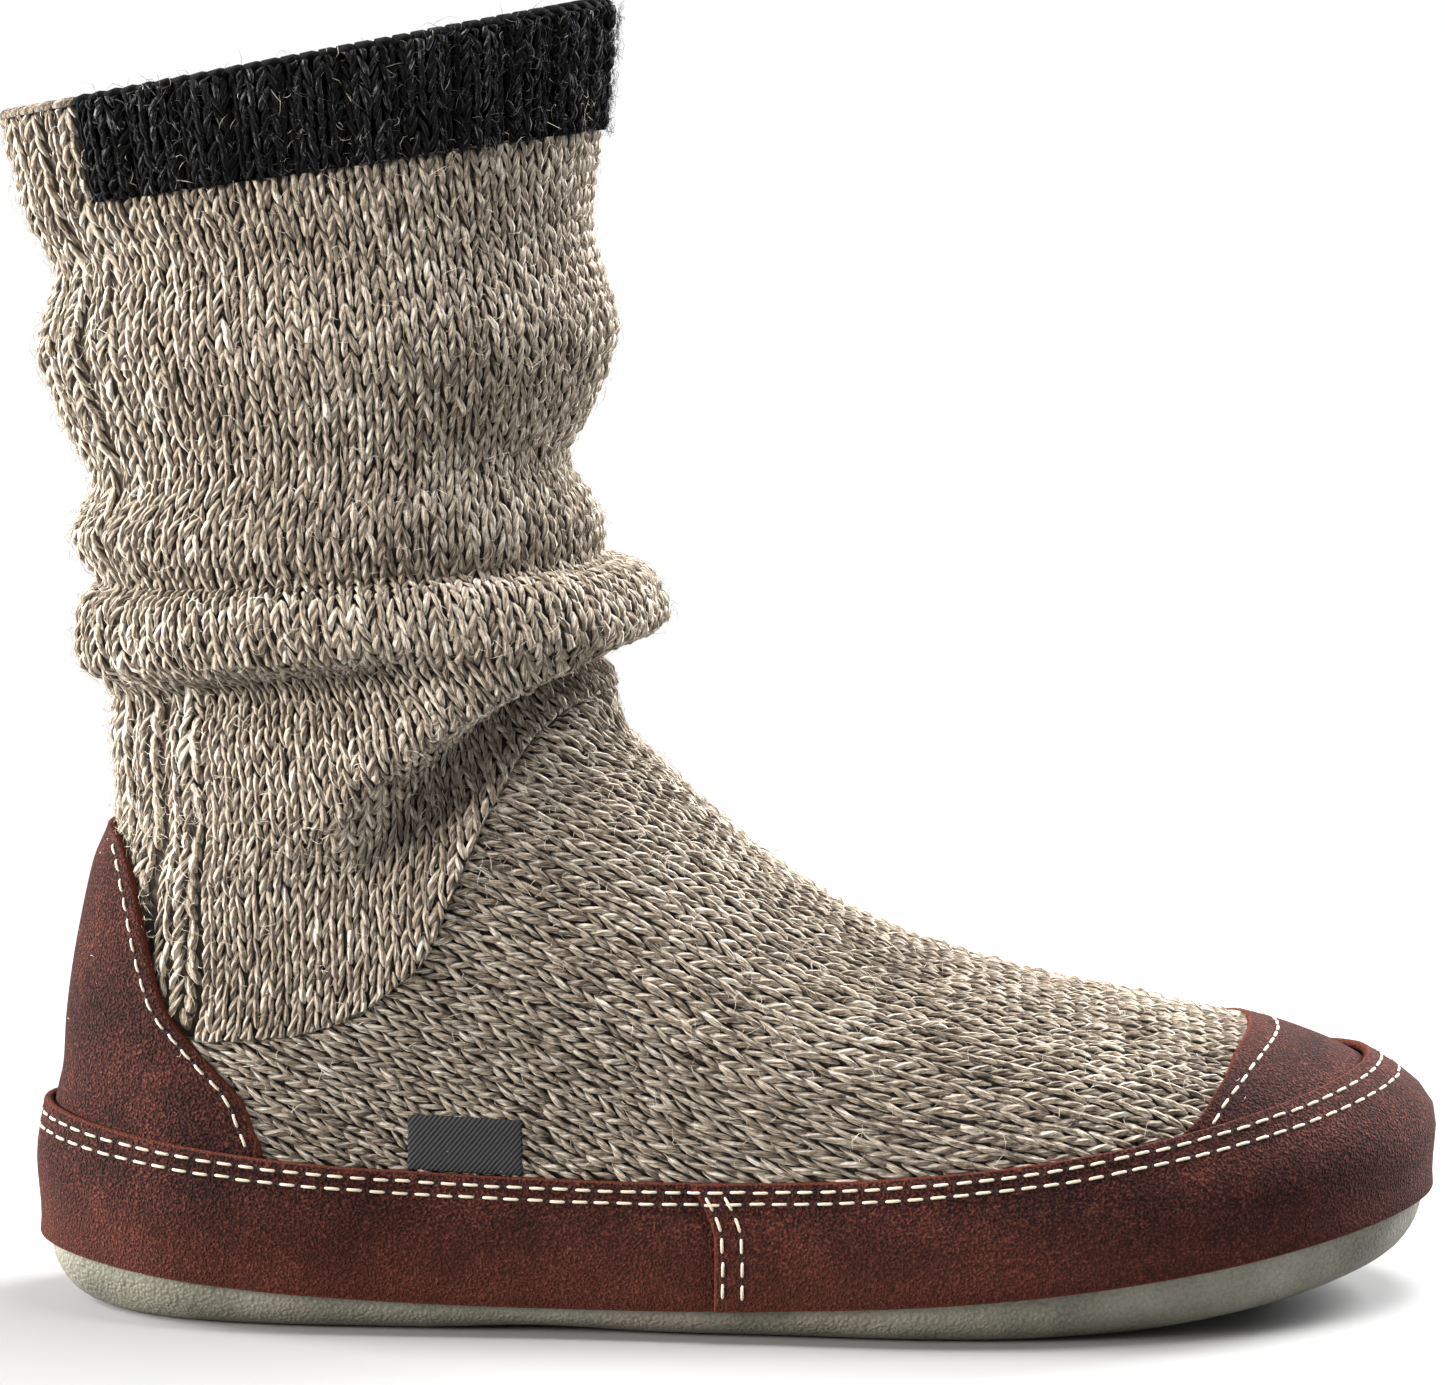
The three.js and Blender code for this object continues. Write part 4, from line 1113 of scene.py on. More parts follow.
points, faces = cuff_ground()
marks = wall_marks(points)
cuff_piece = add_piece("cuff_ground", points, faces, charcoal_ground_painted_shade, "dark_wool", marks)
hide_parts("cuff")
# The rib loops' shade is raised as painted highlight on the rib tops, and the furrow loops' shade is lowered
# as painted shade in the furrows.
for name, offsets, tone in (("cuff_knit", CUFF_WALES, 0.05), ("cuff_furrows", CUFF_FURROWS, -0.15)):
    middles = (np.arange(cuff_ribs) + 0.5)[:, None] + np.array(offsets)[None, :]
    courses = np.arange(0.5, CUFF_HEIGHT + 3, CUFF_COURSE)
    across, along = [v.ravel() for v in np.meshgrid(middles.ravel(), courses)]
    seen = cuff_place(across, along)[2] < CUFF_COURSE / 2
    across, along = across[seen], along[seen]
    wale = CUFF_RIB * CUFF_WALE
    loops = knit(cuff_place, across, along, wale, CUFF_COURSE, 1 / CUFF_RIB, 0.9, tone=tone)
    add_piece(name, loops[0], loops[1], charcoal_wool, "dark_wool", loops[2])

# Collar edge: each wale of the cuff and the panel is bound off over the top, from outside to inside.
# It is the yarn of the knit below it, in one broad loop for each wale and each furrow.
BIND_RADIUS = 0.85
BIND_ROOT = 0.22


def bound_edge(angle, wale):
    """Loops over the collar at the given angles, round a core that fills the edge"""
    ring = np.full(angle.shape, float(COLLAR_RING))
    front = on_skin(angle, ring, 0.5)
    back = in_wall(angle, ring, KNIT_WALL)
    up = on_skin(angle, ring, 0.0) - on_skin(angle, ring - BIND_ROOT, 0.0)
    up /= np.linalg.norm(up, axis=-1, keepdims=True)
    middle, half = (front + back) / 2, (front - back) / 2
    turn = np.radians([-40, -20, 15, 55, 90, 125, 165, 200, 220])
    width = np.array([0.1, 0.8, 1.0, 1.0, 1.0, 1.0, 1.0, 0.8, 0.1]) * BIND_RADIUS
    arc = middle[:, None] + half[:, None] * np.cos(turn)[None, :, None]
    arc = arc + up[:, None] * np.sin(turn)[None, :, None] * BIND_RADIUS
    along = np.gradient(arc, axis=1)
    along /= np.linalg.norm(along, axis=-1, keepdims=True)
    side = np.cross(up, half / np.linalg.norm(half, axis=-1, keepdims=True))[:, None] + 0 * arc
    out = np.cross(side, along)
    round_it = 2 * math.pi * (np.arange(LEG_SIDES) + 0.25) / LEG_SIDES
    wide = draw.normal(wale * 0.66, 0.1, (len(angle), 1, 1, 1))
    wide = wide * (width / BIND_RADIUS)[None, :, None, None]
    thick = (width * LEG_FLAT)[None, :, None, None]
    tubes = arc[:, :, None] + side[:, :, None] * np.cos(round_it)[None, None, :, None] * wide
    tubes = tubes + out[:, :, None] * np.sin(round_it)[None, None, :, None] * thick
    points = np.concatenate([arc[:, :1], tubes[:, 1:-1].reshape(len(angle), -1, 3), arc[:, -1:]], 1)
    run = np.concatenate([[0], np.repeat(turn[1:-1], LEG_SIDES), [4]]) * 1.2
    around = np.concatenate([[0], np.tile(round_it, len(turn) - 2), [0]])
    yarn = np.stack([run + 0 * points[..., 0], around + 0 * points[..., 0], points[..., 0]], -1)
    # The bound loops take a lower shade than the knit's loops: painted shade that dims the edge where the
    # lights from above fall.
    shade = np.broadcast_to(draw.normal(0.3, SHADE_SPREAD, (len(angle), 1)), points.shape[:2])
    marks = {"yarn": yarn.reshape(-1, 3), "shade": shade.ravel()}
    return points.reshape(-1, 3), yarn_faces(len(angle), len(turn), LEG_SIDES), marks


across = (np.arange(cuff_ribs * 3) + 0.5) / (cuff_ribs * 3)
loops = bound_edge(leg_angle(COLLAR_RING, across), CUFF_RIB / 3)
add_piece("cuff_bound_edge", loops[0], loops[1], charcoal_wool, "dark_wool", loops[2])
across = (np.arange(panel_ribs * 2) + 0.5) / (panel_ribs * 2)
loops = bound_edge(panel_angle(COLLAR_RING, across), PANEL_RIB / 2)
add_piece("panel_bound_edge", loops[0], loops[1], ragg_wool, "ragg_wool", loops[2])

# Heel counter: a suede arch over the heel, sewn to the knit and caught at its foot by the rand.
# Suede: split cowhide, dyed red brown, its nap brushed up; cut edges show the paler core.
SUEDE_THICKNESS = 1.6
COUNTER_GAP = 0.7
LAYER_GAP = 0.5
EDGE_ROUND = 0.6
# Ring at which the counter and the toe cap end, behind the rand
TUCK_RING = 1.4
# ring, and the share from the heel at which the counter's edge lies on it
COUNTER_EDGE = [
    (TUCK_RING, 0.163),
    (2.21, 0.161),
    (2.52, 0.156),
    (3.14, 0.149),
    (3.69, 0.133),
    (4.22, 0.116),
    (4.74, 0.101),
    (5.43, 0.091),
    (6.09, 0.082),
    (6.92, 0.066),
    (7.53, 0.034),
    (7.84, 0.002),
]
counter_edge = smooth_table(*np.array(COUNTER_EDGE).T)
NAP_SIZE = 0.55
BLOTCH_SIZE = 14.0


def suede_leather(name):
    """Brushed suede: mottled dye, a fine nap whose pits are painted darker as shade, a warmer, lighter tint
    near the floor, paler cut edges
    """
    made, tree = new_material(name)
    spot = add_node(tree, "ShaderNodeTexCoord").outputs["Object"]
    rim = add_node(tree, "ShaderNodeAttribute", {"attribute_name": "edge"}).outputs["Fac"]
    fine = {"Scale": 1000 / NAP_SIZE, "Detail": 2.0, "Roughness": 0.5}
    nap = add_node(tree, "ShaderNodeTexNoise", fine, {0: spot})
    broad = {"Scale": 1000 / BLOTCH_SIZE, "Detail": 4.0, "Roughness": 0.6}
    blotch = add_node(tree, "ShaderNodeTexNoise", broad, {0: spot})
    # The nap noise darkens the colour where its bump dents the surface: painted shade in the pits. The broad
    # blotches are the dye's own mottling.
    mixed = add_node(
        tree,
        "ShaderNodeMath",
        {"operation": "MULTIPLY_ADD", 1: 0.35},
        {0: blotch.outputs[0], 2: nap.outputs[0]},
    )
    spread = add_node(
        tree, "ShaderNodeMapRange", {"From Min": 0.49, "From Max": 0.87}, {"Value": mixed.outputs[0]}
    )
    shade = set_ramp(
        add_node(tree, "ShaderNodeValToRGB", links={0: spread.outputs[0]}),
        [(0.0, "#080302"), (0.4, "#28120f"), (0.65, "#3e1d18"), (0.9, "#512921"), (1.0, "#683a2f")],
    )
    # Towards the floor the colour is mixed with a warmer, lighter red brown.
    low = add_node(tree, "ShaderNodeSeparateXYZ", links={0: spot})
    near_floor = add_node(
        tree,
        "ShaderNodeMapRange",
        {"From Min": 0.03, "From Max": 0.008, "To Max": 0.3},
        {"Value": low.outputs[2]},
    )
    floor_tint = add_node(
        tree,
        "ShaderNodeMix",
        {"data_type": "RGBA", 7: srgb("#5f2f20")},
        {0: near_floor.outputs[0], 6: shade.outputs[0]},
    )
    core = add_node(
        tree, "ShaderNodeMix", {"data_type": "RGBA", 7: srgb("#5c2c1f")}, {0: rim, 6: floor_tint.outputs[2]}
    )
    rough = add_node(
        tree, "ShaderNodeBump", {"Strength": 1.0, "Distance": 0.0013}, {"Height": nap.outputs[0]}
    )
    shader = add_node(
        tree,
        "ShaderNodeBsdfPrincipled",
        {
            "Roughness": 0.9,
            "IOR": 1.45,
            "Specular IOR Level": 0.15,
            "Sheen Weight": 0.03,
            "Sheen Roughness": 0.45,
        },
        {"Base Color": core.outputs[2], "Normal": rough.outputs[0]},
    )
    shader.inputs["Sheen Tint"].default_value = srgb("#d8a090")
    add_node(tree, "ShaderNodeOutputMaterial", links={"Surface": shader.outputs[0]})
    return made


suede = suede_leather("brushed_suede")


def spaced(count, length, run=EDGE_ROUND):
    """Shares along a side with close steps where an edge rounds off at both ends"""
    close = np.array([0, 0.06, 0.2, 0.45, 1.0]) * run / length
    return np.concatenate([close[:-1], np.linspace(close[-1], 1 - close[-1], count), 1 - close[:-1][::-1]])


def leather_sheet(place, columns, rows, length, height, gap, thickness, round_sides=(1, 1, 1, 1)):
    """A piece of leather with soft cut edges, of so many steps and millimetres each way. place(u, v)
    gives angle and ring; the flags say which of its left, right, lower and upper edges are cut."""
    u, v = np.meshgrid(spaced(columns, length), spaced(rows, height))
    far = np.full(u.shape, 1e9)
    for flag, part in zip(round_sides, (u * length, (1 - u) * length, v * height, (1 - v) * height)):
        if flag:
            far = np.minimum(far, part)
    rounded = np.sqrt(np.clip(1 - (1 - np.clip(far / EDGE_ROUND, 0, 1)) ** 2, 0, 1))
    lift = thickness(u, v) if callable(thickness) else thickness
    inside = gap(u, v) if callable(gap) else gap
    angle, ring = place(u, v)
    outer = on_skin(angle, ring, inside + lift * (0.45 + 0.55 * rounded))
    inner = on_skin(angle, ring, inside)
    points, faces = sheet_parts(outer, inner)
    edge = np.concatenate([1 - np.clip(far / EDGE_ROUND, 0, 1).ravel()] * 2)
    return points, faces, {"edge": np.clip(edge * 1.4, 0, 1)}


def counter_place(u, v):
    ring = TUCK_RING + (COUNTER_EDGE[-1][0] - TUCK_RING) * v
    edge = angle_at(counter_edge(ring))
    return edge + (2 * math.pi - 2 * edge) * u, ring


parts = leather_sheet(counter_place, 46, 52, 120.0, 74.0, COUNTER_GAP, SUEDE_THICKNESS)
counter_piece = add_piece("heel_counter_suede", parts[0], parts[1], suede, "suede", parts[2])
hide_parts("heel_counter")

# Toe cap: the same suede over the toe, its rear edge curved back down to the rand.
# It is sewn to the knit along that edge, and its foot is caught under the rand.
TOE_CAP_EDGE = [(0.853, 2.05), (0.872, 2.26), (0.907, 2.77), (0.957, 3.28), (1.0, 3.52)]
toe_edge = smooth_table(*np.array(TOE_CAP_EDGE).T)


def cap_place(u, v):
    reach = angle_at(TOE_CAP_EDGE[0][0])
    angle = reach * (2 * u - 1)
    return angle, TUCK_RING + (toe_edge(share_at(angle)) - TUCK_RING) * v


parts = leather_sheet(cap_place, 60, 24, 100.0, 36.0, LAYER_GAP, SUEDE_THICKNESS)
cap_piece = add_piece("toe_cap_suede", parts[0], parts[1], suede, "suede", parts[2])
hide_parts("toe_cap")

# Rand: a suede band round the sole's edge in two halves, over the feet of the counter and the toe cap.
# The front half laps over the rear half at mid foot.
RAND_THICKNESS = 1.8
LAP_PLACE = 140.0
LAP_LENGTH = 8.0
LAP_THICKNESS = 0.8
LAP_STEP = 0.6
FIT_GAP = 0.3
OVERLAY_RUN = 16.0
lap_share = (LAP_PLACE - HEEL_SEAT - float(back_at(0))) / float(front_at(0) - back_at(0))


def smooth_step(start, end, x):
    t = np.clip((x - start) / (end - start), 0, 1)
    return t * t * (3 - 2 * t)


def rand_inside(share, ring):
    run = OVERLAY_RUN / FOOT_LENGTH
    counter = 1 - smooth_step(COUNTER_EDGE[0][1] + run, COUNTER_EDGE[0][1] + 2 * run, share)
    cap = smooth_step(TOE_CAP_EDGE[0][0] - 2 * run, TOE_CAP_EDGE[0][0] - run, share)
    lift = np.maximum(counter * (SUEDE_THICKNESS + COUNTER_GAP), cap * (SUEDE_THICKNESS + LAYER_GAP))
    return LAYER_GAP + lift * smooth_step(SOLE_TOP_RING, TUCK_RING, ring)


def rear_place(u, v):
    reach = math.pi - float(angle_at(lap_share + LAP_LENGTH / FOOT_LENGTH))
    return math.pi + reach * (2 * u - 1), RAND_TOP_RING * v + 0 * u


def rear_gap(u, v):
    angle, ring = rear_place(u, v)
    return rand_inside(share_at(angle), ring)


def rear_thickness(u, v):
    share = share_at(rear_place(u, v)[0])
    return RAND_THICKNESS + (LAP_THICKNESS - RAND_THICKNESS) * smooth_step(lap_share - 0.01, lap_share, share)


parts = leather_sheet(rear_place, 160, 10, 320.0, 27.0, rear_gap, rear_thickness, (0, 0, 1, 1))
rear_piece = add_piece("rand_rear_suede", parts[0], parts[1], suede, "suede", parts[2])
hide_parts("rand_rear")


def front_place(u, v):
    reach = float(angle_at(lap_share + FIT_GAP / FOOT_LENGTH))
    return reach * (2 * u - 1), RAND_TOP_RING * v + 0 * u


def front_lap(u, v):
    share = share_at(front_place(u, v)[0])
    end = lap_share + LAP_LENGTH / FOOT_LENGTH
    return 1 - smooth_step(end, end + LAP_LENGTH / FOOT_LENGTH, share)


def front_gap(u, v):
    angle, ring = front_place(u, v)
    plain = rand_inside(share_at(angle), ring)
    return plain + (LAYER_GAP + LAP_THICKNESS + FIT_GAP - plain) * front_lap(u, v)


def front_thickness(u, v):
    lapped = RAND_THICKNESS + LAP_STEP - LAP_THICKNESS - FIT_GAP
    return RAND_THICKNESS + (lapped - RAND_THICKNESS) * front_lap(u, v)


parts = leather_sheet(front_place, 170, 10, 340.0, 27.0, front_gap, front_thickness)
front_piece = add_piece("rand_front_suede", parts[0], parts[1], suede, "suede", parts[2])
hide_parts("rand_front")

# Sewing thread: waxed cream cotton in rows of lock stitches, each drawn down into its needle holes.
# Two rows hold the rand and two more each lap; one runs up each side of the counter, one over the cap.
THREAD_PITCH = 4.5
THREAD_LENGTH = 3.5
THREAD_RADIUS = 0.31
THREAD_SIDES = 6
# along the stitch, how far it stands off the suede, and its width
THREAD_SHAPE = [
    (0.0, -0.45, 0.3),
    (0.05, -0.2, 0.8),
    (0.2, 0.1, 1.0),
    (0.5, 0.22, 1.0),
    (0.8, 0.1, 1.0),
    (0.95, -0.2, 0.8),
    (1.0, -0.45, 0.3),
]
TRIM_PITCH = 4.2
TRIM_LENGTH = 3.2
RAND_ROWS = (2.2, 4.55)
LAP_ROWS = (2.0, 6.0)
COUNTER_INSET = 3.0
CAP_INSET = 2.7
CAP_RING_RISE = 11.5

cotton, tree = new_material("waxed_cotton_thread")
along_thread = add_node(tree, "ShaderNodeAttribute", {"attribute_name": "yarn"}).outputs["Vector"]
lay = {"Rotation": (0, 0, math.radians(35)), "Scale": (3.0, 5.0, 1.0)}
twist = add_node(tree, "ShaderNodeMapping", lay, {"Vector": along_thread})
ply = add_node(tree, "ShaderNodeTexWave", {"Scale": 0.6, "Distortion": 1.0}, {"Vector": twist.outputs[0]})
shade = set_ramp(
    add_node(tree, "ShaderNodeValToRGB", links={0: ply.outputs[1]}),
    [(0.0, "#ac9c82"), (0.5, "#d3c7b1"), (1.0, "#ece3d1")],
)
dent = add_node(tree, "ShaderNodeBump", {"Strength": 0.5, "Distance": 0.0001}, {"Height": ply.outputs[1]})
shader = add_node(
    tree,
    "ShaderNodeBsdfPrincipled",
    {"Roughness": 0.6},
    {"Base Color": shade.outputs[0], "Normal": dent.outputs[0]},
)
add_node(tree, "ShaderNodeOutputMaterial", links={"Surface": shader.outputs[0]})
hole, tree = new_material("needle_hole_shadow")
spot = add_node(tree, "ShaderNodeTexCoord").outputs["Object"]
lint = add_node(tree, "ShaderNodeTexNoise", {"Scale": 2500.0}, {"Vector": spot})
shade = set_ramp(
    add_node(tree, "ShaderNodeValToRGB", links={0: lint.outputs[0]}), [(0.3, "#120605"), (0.7, "#24100d")]
)
shader = add_node(tree, "ShaderNodeBsdfPrincipled", {"Roughness": 1.0}, {"Base Color": shade.outputs[0]})
add_node(tree, "ShaderNodeOutputMaterial", links={"Surface": shader.outputs[0]})


def stitch_row(line, out, pitch=THREAD_PITCH, length=THREAD_LENGTH):
    """Stitches along a line of points with outward directions: points, faces, yarn marks, and the
    places and outward directions of their needle holes"""
    far = np.concatenate([[0], np.cumsum(np.linalg.norm(np.diff(line, axis=0), axis=1))])
    count = int(far[-1] / pitch)
    shape = np.array(THREAD_SHAPE)
    start = (far[-1] - count * pitch) / 2 + (pitch - length) / 2 + np.arange(count) * pitch
    start = start + draw.normal(0, 0.1, count)
    at = start[:, None] + shape[None, :, 0] * length

    def sample(values):
        return np.stack([np.interp(at, far, values[:, k]) for k in range(3)], -1)

    centre, normal = sample(line), sample(out)
    ahead = np.gradient(centre, axis=1)
    ahead /= np.linalg.norm(ahead, axis=-1, keepdims=True)
    side = np.cross(ahead, normal)
    side /= np.linalg.norm(side, axis=-1, keepdims=True)
    centre = centre + normal * shape[None, :, 1, None]
    centre = centre + side * draw.normal(0, 0.06, (count, 1, 1))
    turn = 2 * math.pi * np.arange(THREAD_SIDES) / THREAD_SIDES
    size = shape[None, 1:-1, 2, None, None] * THREAD_RADIUS
    cos, sin = np.cos(turn)[None, None, :, None], np.sin(turn)[None, None, :, None]
    ring = side[:, 1:-1, None] * cos + normal[:, 1:-1, None] * sin
    rings = centre[:, 1:-1, None] + ring * size
    points = np.concatenate([centre[:, :1], rings.reshape(count, -1, 3), centre[:, -1:]], 1)
    run = np.concatenate([[0], np.repeat(shape[1:-1, 0], THREAD_SIDES), [1]]) * length
    turned = np.concatenate([[0], np.tile(turn, len(shape) - 2), [0]]) * THREAD_RADIUS
    flat = 0 * points[..., 0]
    yarn = np.stack([run + flat, turned + flat, flat], -1).reshape(-1, 3)
    faces = yarn_faces(count, len(shape), THREAD_SIDES)
    holes, ways = [np.concatenate([ends[:, 0], ends[:, -1]]) for ends in (centre, normal)]
    return points.reshape(-1, 3), faces, yarn, holes, ways


def line_on(angle, ring, lift):
    """A line of points over the form and the outward directions along it"""
    return on_skin(angle, ring, lift), looked_up(skin_out, angle, ring)


rows = []
angles = np.linspace(-math.pi, math.pi, 2400)
share = share_at(angles)
lap_end = lap_share + LAP_LENGTH / FOOT_LENGTH
lap_top = LAYER_GAP + RAND_THICKNESS + LAP_STEP
blend = (1 - smooth_step(lap_end, lap_end + LAP_LENGTH / FOOT_LENGTH, share)) * (share > lap_share)
for below in RAND_ROWS:
    ring = np.full(angles.shape, RAND_TOP_RING - below / RING_RISE)
    top = rand_inside(share, ring) + RAND_THICKNESS
    rows.append(stitch_row(*line_on(angles, ring, top + (lap_top - top) * blend)))
ring = np.linspace(0.05, RAND_TOP_RING - 0.1, 80)
for ahead in LAP_ROWS:
    for sign in (-1, 1):
        angle = sign * np.full(80, float(angle_at(lap_share + ahead / FOOT_LENGTH)))
        rows.append(stitch_row(*line_on(angle, ring, lap_top)))
ring = np.linspace(RAND_TOP_RING + 0.05, 7.55, 400)
edge = angle_at(counter_edge(ring))
base = looked_up(skin_points, edge, ring)
step = np.linalg.norm(looked_up(skin_points, edge + 0.02, ring) - base, axis=1) / 0.02
for sign in (-1, 1):
    line = line_on(sign * (edge + COUNTER_INSET / step), ring, COUNTER_GAP + SUEDE_THICKNESS)
    rows.append(stitch_row(*line, TRIM_PITCH, TRIM_LENGTH))
reach = float(angle_at(TOE_CAP_EDGE[0][0])) * 0.97
angle = np.linspace(-reach, reach, 400)
ring = toe_edge(share_at(angle)) - CAP_INSET / CAP_RING_RISE
kept = ring > RAND_TOP_RING + 0.02
line = line_on(angle[kept], ring[kept], LAYER_GAP + SUEDE_THICKNESS)
rows.append(stitch_row(*line, TRIM_PITCH, TRIM_LENGTH))

points, tris, quads, yarns, start = [], [], [], [], 0
for row in rows:
    points.append(row[0])
    tris.append(row[1][0] + start)
    quads.append(row[1][1] + start)
    yarns.append(row[2])
    start += len(row[0])
add_piece(
    "suede_stitching",
    np.concatenate(points),
    [np.concatenate(tris), np.concatenate(quads)],
    cotton,
    "suede",
    {"yarn": np.concatenate(yarns)},
)

# Needle holes: small dark pits where the thread goes through the suede.
# Each is a small double cone set into the leather at one end of a stitch.
HOLE_RADIUS = 0.42
HOLE_SIDES = 6
HOLE_RISE = 0.47
HOLE_LID = 0.06
HOLE_DEPTH = 0.5
centres = np.concatenate([row[3] for row in rows])
normals = np.concatenate([row[4] for row in rows])
lean = np.cross(normals, (0.0, 0.3, 1.0))
lean /= np.linalg.norm(lean, axis=1, keepdims=True)
other = np.cross(normals, lean)
turn = 2 * math.pi * np.arange(HOLE_SIDES) / HOLE_SIDES
circle = lean[:, None] * np.cos(turn)[None, :, None] + other[:, None] * np.sin(turn)[None, :, None]
mouth = centres + normals * HOLE_RISE
lid = mouth + normals * HOLE_LID
foot = mouth - normals * HOLE_DEPTH
points = np.concatenate([lid[:, None], mouth[:, None] + circle * HOLE_RADIUS, foot[:, None]], 1)
base = np.arange(len(centres))[:, None, None] * (HOLE_SIDES + 2)
s = np.arange(HOLE_SIDES)
cone = np.concatenate(
    [
        np.stack([np.zeros(HOLE_SIDES, int), 1 + s, 1 + (s + 1) % HOLE_SIDES], -1),
        np.stack([np.full(HOLE_SIDES, HOLE_SIDES + 1), 1 + (s + 1) % HOLE_SIDES, 1 + s], -1),
    ]
)
add_piece("needle_holes", points, [(cone[None] + base).reshape(-1, 3)], hole, "suede")

# Side tab: a small folded tab of woven polyester tape on the outer side, plain all over.
# It stands on the rand's upper edge, against the knit, and bows out a little at its middle.
LABEL_PLACE = 79.0
LABEL_LENGTH = 23.0
LABEL_HEIGHT = 11.0
LABEL_THICKNESS = 0.9
LABEL_ROUND = 0.5
LABEL_BOW = 0.25
tape, tree = new_material("woven_polyester_tape")
threads = add_node(tree, "ShaderNodeAttribute", {"attribute_name": "tape"}).outputs["Vector"]
warp = add_node(tree, "ShaderNodeMapping", {"Rotation": (0, 0, math.radians(40))}, {"Vector": threads})
weave = {"Scale": 0.42, "Distortion": 0.8, "Detail": 1.0}
twill = add_node(tree, "ShaderNodeTexWave", weave, {"Vector": warp.outputs[0]})
speck = add_node(tree, "ShaderNodeTexNoise", {"Scale": 4.0, "Detail": 2.0}, {"Vector": threads})
mixed = add_node(
    tree,
    "ShaderNodeMath",
    {"operation": "MULTIPLY_ADD", 1: 0.5},
    {0: speck.outputs[0], 2: twill.outputs[1]},
)
shade = set_ramp(
    add_node(tree, "ShaderNodeValToRGB", links={0: mixed.outputs[0]}),
    [(0.2, "#0d0e0f"), (0.6, "#1a1b1c"), (1.0, "#3c3d3f")],
)
dent = add_node(tree, "ShaderNodeBump", {"Strength": 0.6, "Distance": 0.00012}, {"Height": twill.outputs[1]})
shader = add_node(
    tree,
    "ShaderNodeBsdfPrincipled",
    {"Roughness": 0.8, "Specular IOR Level": 0.2},
    {"Base Color": shade.outputs[0], "Normal": dent.outputs[0]},
)
add_node(tree, "ShaderNodeOutputMaterial", links={"Surface": shader.outputs[0]})


def label_angle(u, ring):
    """Angle on a ring, on the outer side, of a place along the tab"""
    place = LABEL_PLACE + LABEL_LENGTH * u - HEEL_SEAT
    return -angle_at((place - back_at(ring)) / (front_at(ring) - back_at(ring)))


def label_parts():
    u, v = np.meshgrid(spaced(16, LABEL_LENGTH, LABEL_ROUND), spaced(8, LABEL_HEIGHT, LABEL_ROUND))
    low = RAND_TOP_RING + 0 * u
    foot = label_angle(u, low)
    climb = np.linalg.norm(smooth_point(foot, low + 0.1) - smooth_point(foot, low), axis=-1) * 10
    ring = RAND_TOP_RING + (FIT_GAP + LABEL_HEIGHT * v) / climb
    angle = label_angle(u, ring)
    far = np.minimum(np.minimum(u, 1 - u) * LABEL_LENGTH, np.minimum(v, 1 - v) * LABEL_HEIGHT)
    rounded = np.sqrt(np.clip(1 - (1 - np.clip(far / LABEL_ROUND, 0, 1)) ** 2, 0, 1))
    bow = LABEL_BOW * np.sin(math.pi * u) * v
    outer = on_skin(angle, ring, LAYER_GAP + LABEL_THICKNESS * (0.4 + 0.6 * rounded) + bow)
    points, faces = sheet_parts(outer, on_skin(angle, ring, LAYER_GAP + bow))
    flat = np.stack([u * LABEL_LENGTH, v * LABEL_HEIGHT, 0 * u], -1).reshape(-1, 3)
    return points, faces, {"tape": np.concatenate([flat, flat])}


parts = label_parts()
label_low, label_high = parts[0].min(0), parts[0].max(0)
label_piece = add_piece("side_tab_tape", parts[0], parts[1], tape, "woven_tab", parts[2])
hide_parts("side_label")

# Loose fibres: fine hairs of wool, pale on the sock and dark on the cuff, brushed up out of the yarn.
# They stand off the knit and soften its outline.
HAIR_RADIUS = 0.045
HAIR_STEPS = 4
bloom, tree = new_material("loose_wool_fibre")
loop = add_node(tree, "ShaderNodeAttribute", {"attribute_name": "shade"}).outputs["Fac"]
shade = set_ramp(
    add_node(tree, "ShaderNodeValToRGB", links={0: loop}),
    [(0.0, "#6d5d4c"), (0.35, "#a89a86"), (0.7, "#d8cebc"), (1.0, "#f2ece0")],
)
shader = add_node(tree, "ShaderNodeBsdfPrincipled", {"Roughness": 0.6}, {"Base Color": shade.outputs[0]})
add_node(tree, "ShaderNodeOutputMaterial", links={"Surface": shader.outputs[0]})


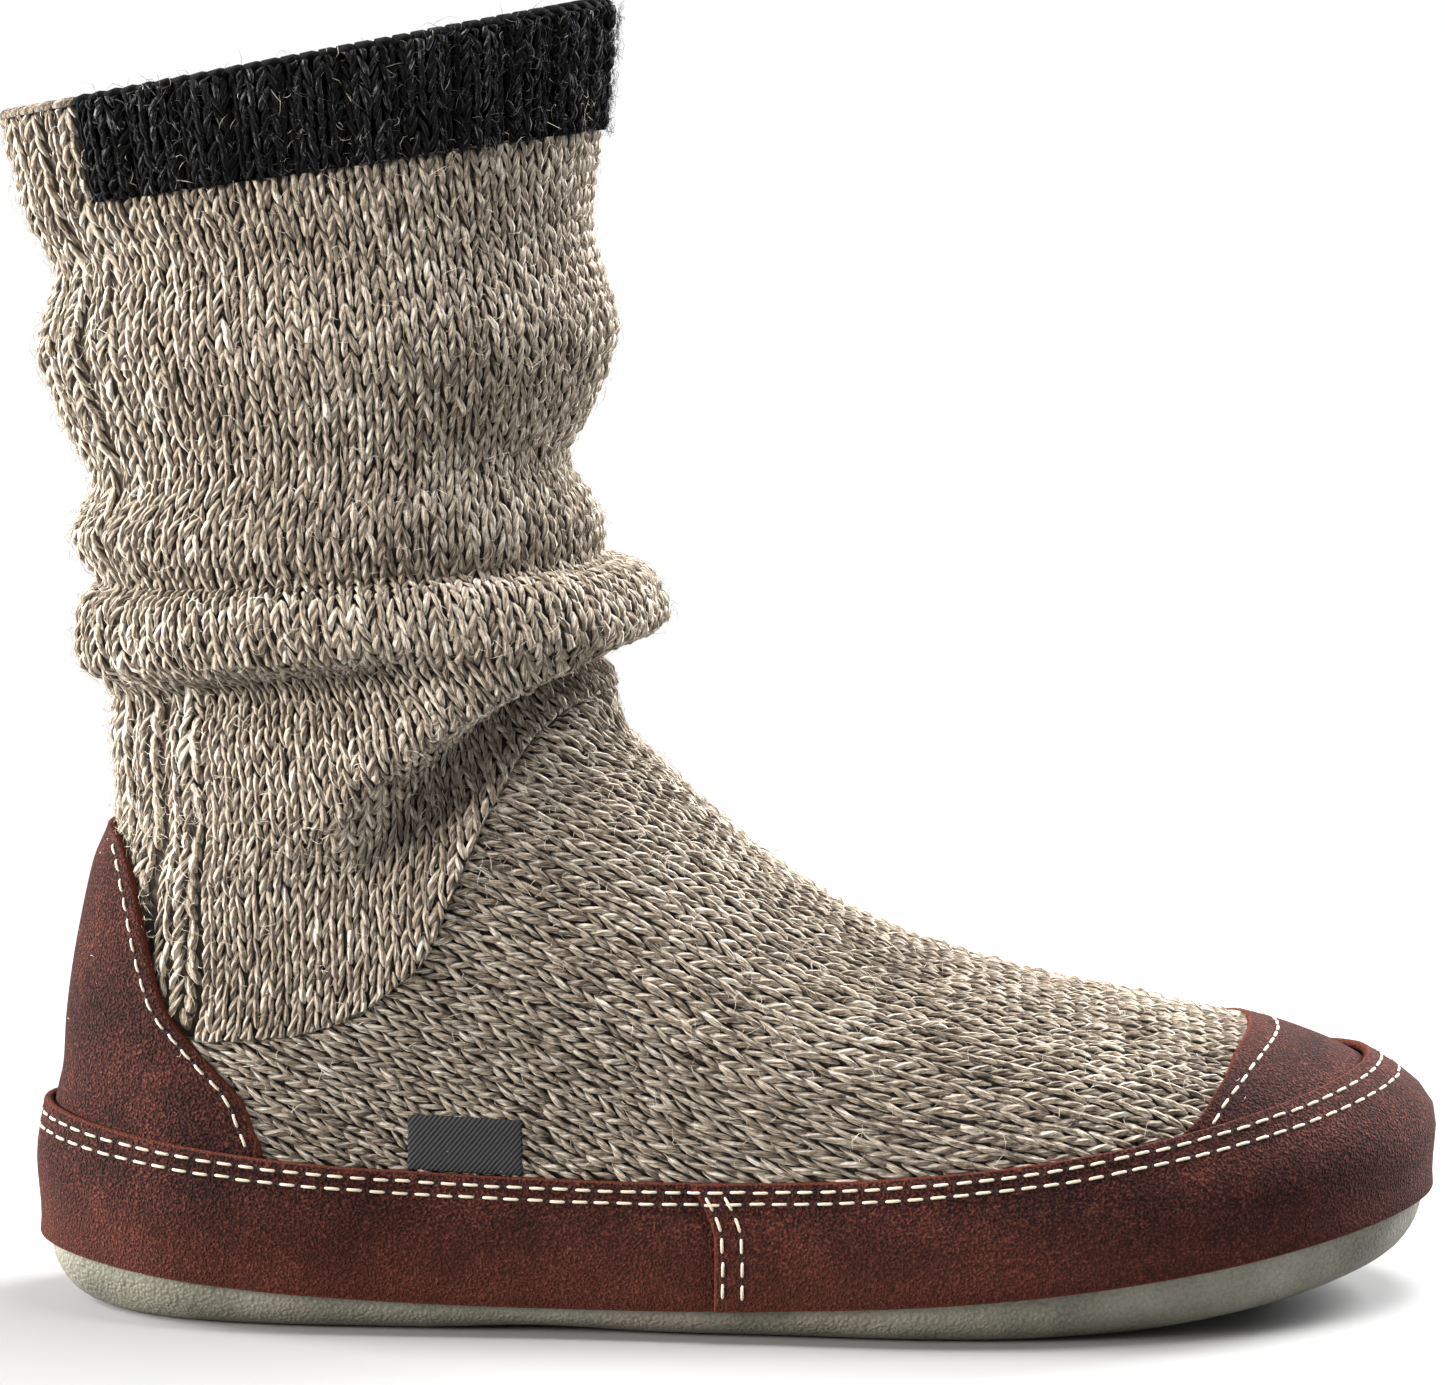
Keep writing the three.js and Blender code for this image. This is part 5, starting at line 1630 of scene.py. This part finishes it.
def hairs(count, rings, angles, root=0.7):
    """Fine curved fibres that start in the knit and stand off it, all ways, but not over the tab"""
    ring = draw.uniform(*rings, count)
    angle = draw.uniform(*angles, count)
    foot = on_skin(angle, ring, root)
    out = looked_up(skin_out, angle, ring)
    side = np.cross(out, (0.0, 0.0, 1.0))
    side /= np.linalg.norm(side, axis=1, keepdims=True)
    rise = np.cross(side, out)
    heading = draw.uniform(0, 2 * math.pi, count)
    ahead = side * np.cos(heading)[:, None] + rise * np.sin(heading)[:, None]
    across = np.cross(out, ahead)
    length = draw.gamma(4.0, 0.8, count)
    bend = draw.normal(0, 0.3, count) * length
    lift = np.abs(draw.normal(0.7, 0.5, count))
    beside = np.maximum(np.maximum(label_low - foot, foot - label_high), 0)
    clear = np.linalg.norm(beside, axis=1) > length + np.abs(bend)
    t = np.linspace(0, 1, HAIR_STEPS)
    line = foot[:, None] + ahead[:, None] * (t * length[:, None])[..., None]
    line = line + across[:, None] * (np.sin(t * math.pi)[None] * bend[:, None])[..., None]
    arch = np.sin(t * math.pi * 0.75)[None] * lift[:, None]
    line = line + out[:, None] * arch[..., None]
    turn = 2 * math.pi * np.arange(3) / 3
    cos, sin = np.cos(turn)[None, None, :, None], np.sin(turn)[None, None, :, None]
    round_it = across[:, None, None] * cos + out[:, None, None] * sin
    rings_points = line[:, 1:-1, None] + round_it * HAIR_RADIUS
    points = np.concatenate([line[:, :1], rings_points.reshape(count, -1, 3), line[:, -1:]], 1)
    tone = np.broadcast_to(draw.uniform(0, 1, (count, 1)), points.shape[:2])[clear]
    faces = yarn_faces(int(clear.sum()), HAIR_STEPS, 3)
    return points[clear].reshape(-1, 3), faces, {"shade": tone.ravel()}


for name, count, rings in (("leg_fibres", 7600, (7.0, COLLAR_RING)), ("foot_fibres", 4300, (2.3, 8.5))):
    loops = hairs(count, rings, (-math.pi, math.pi))
    add_piece(name, loops[0], loops[1], bloom, "ragg_wool", loops[2])
angles = (-edge_angle(COLLAR_RING), edge_angle(COLLAR_RING))
loops = hairs(2800, (cuff_start, COLLAR_RING), angles, 0.5 + CUFF_PROUD)
loops[2]["shade"] = loops[2]["shade"] * 0.45 + 0.28
loops[2]["yarn"] = loops[0]
add_piece("cuff_fibres", loops[0], loops[1], charcoal_wool, "dark_wool", loops[2])
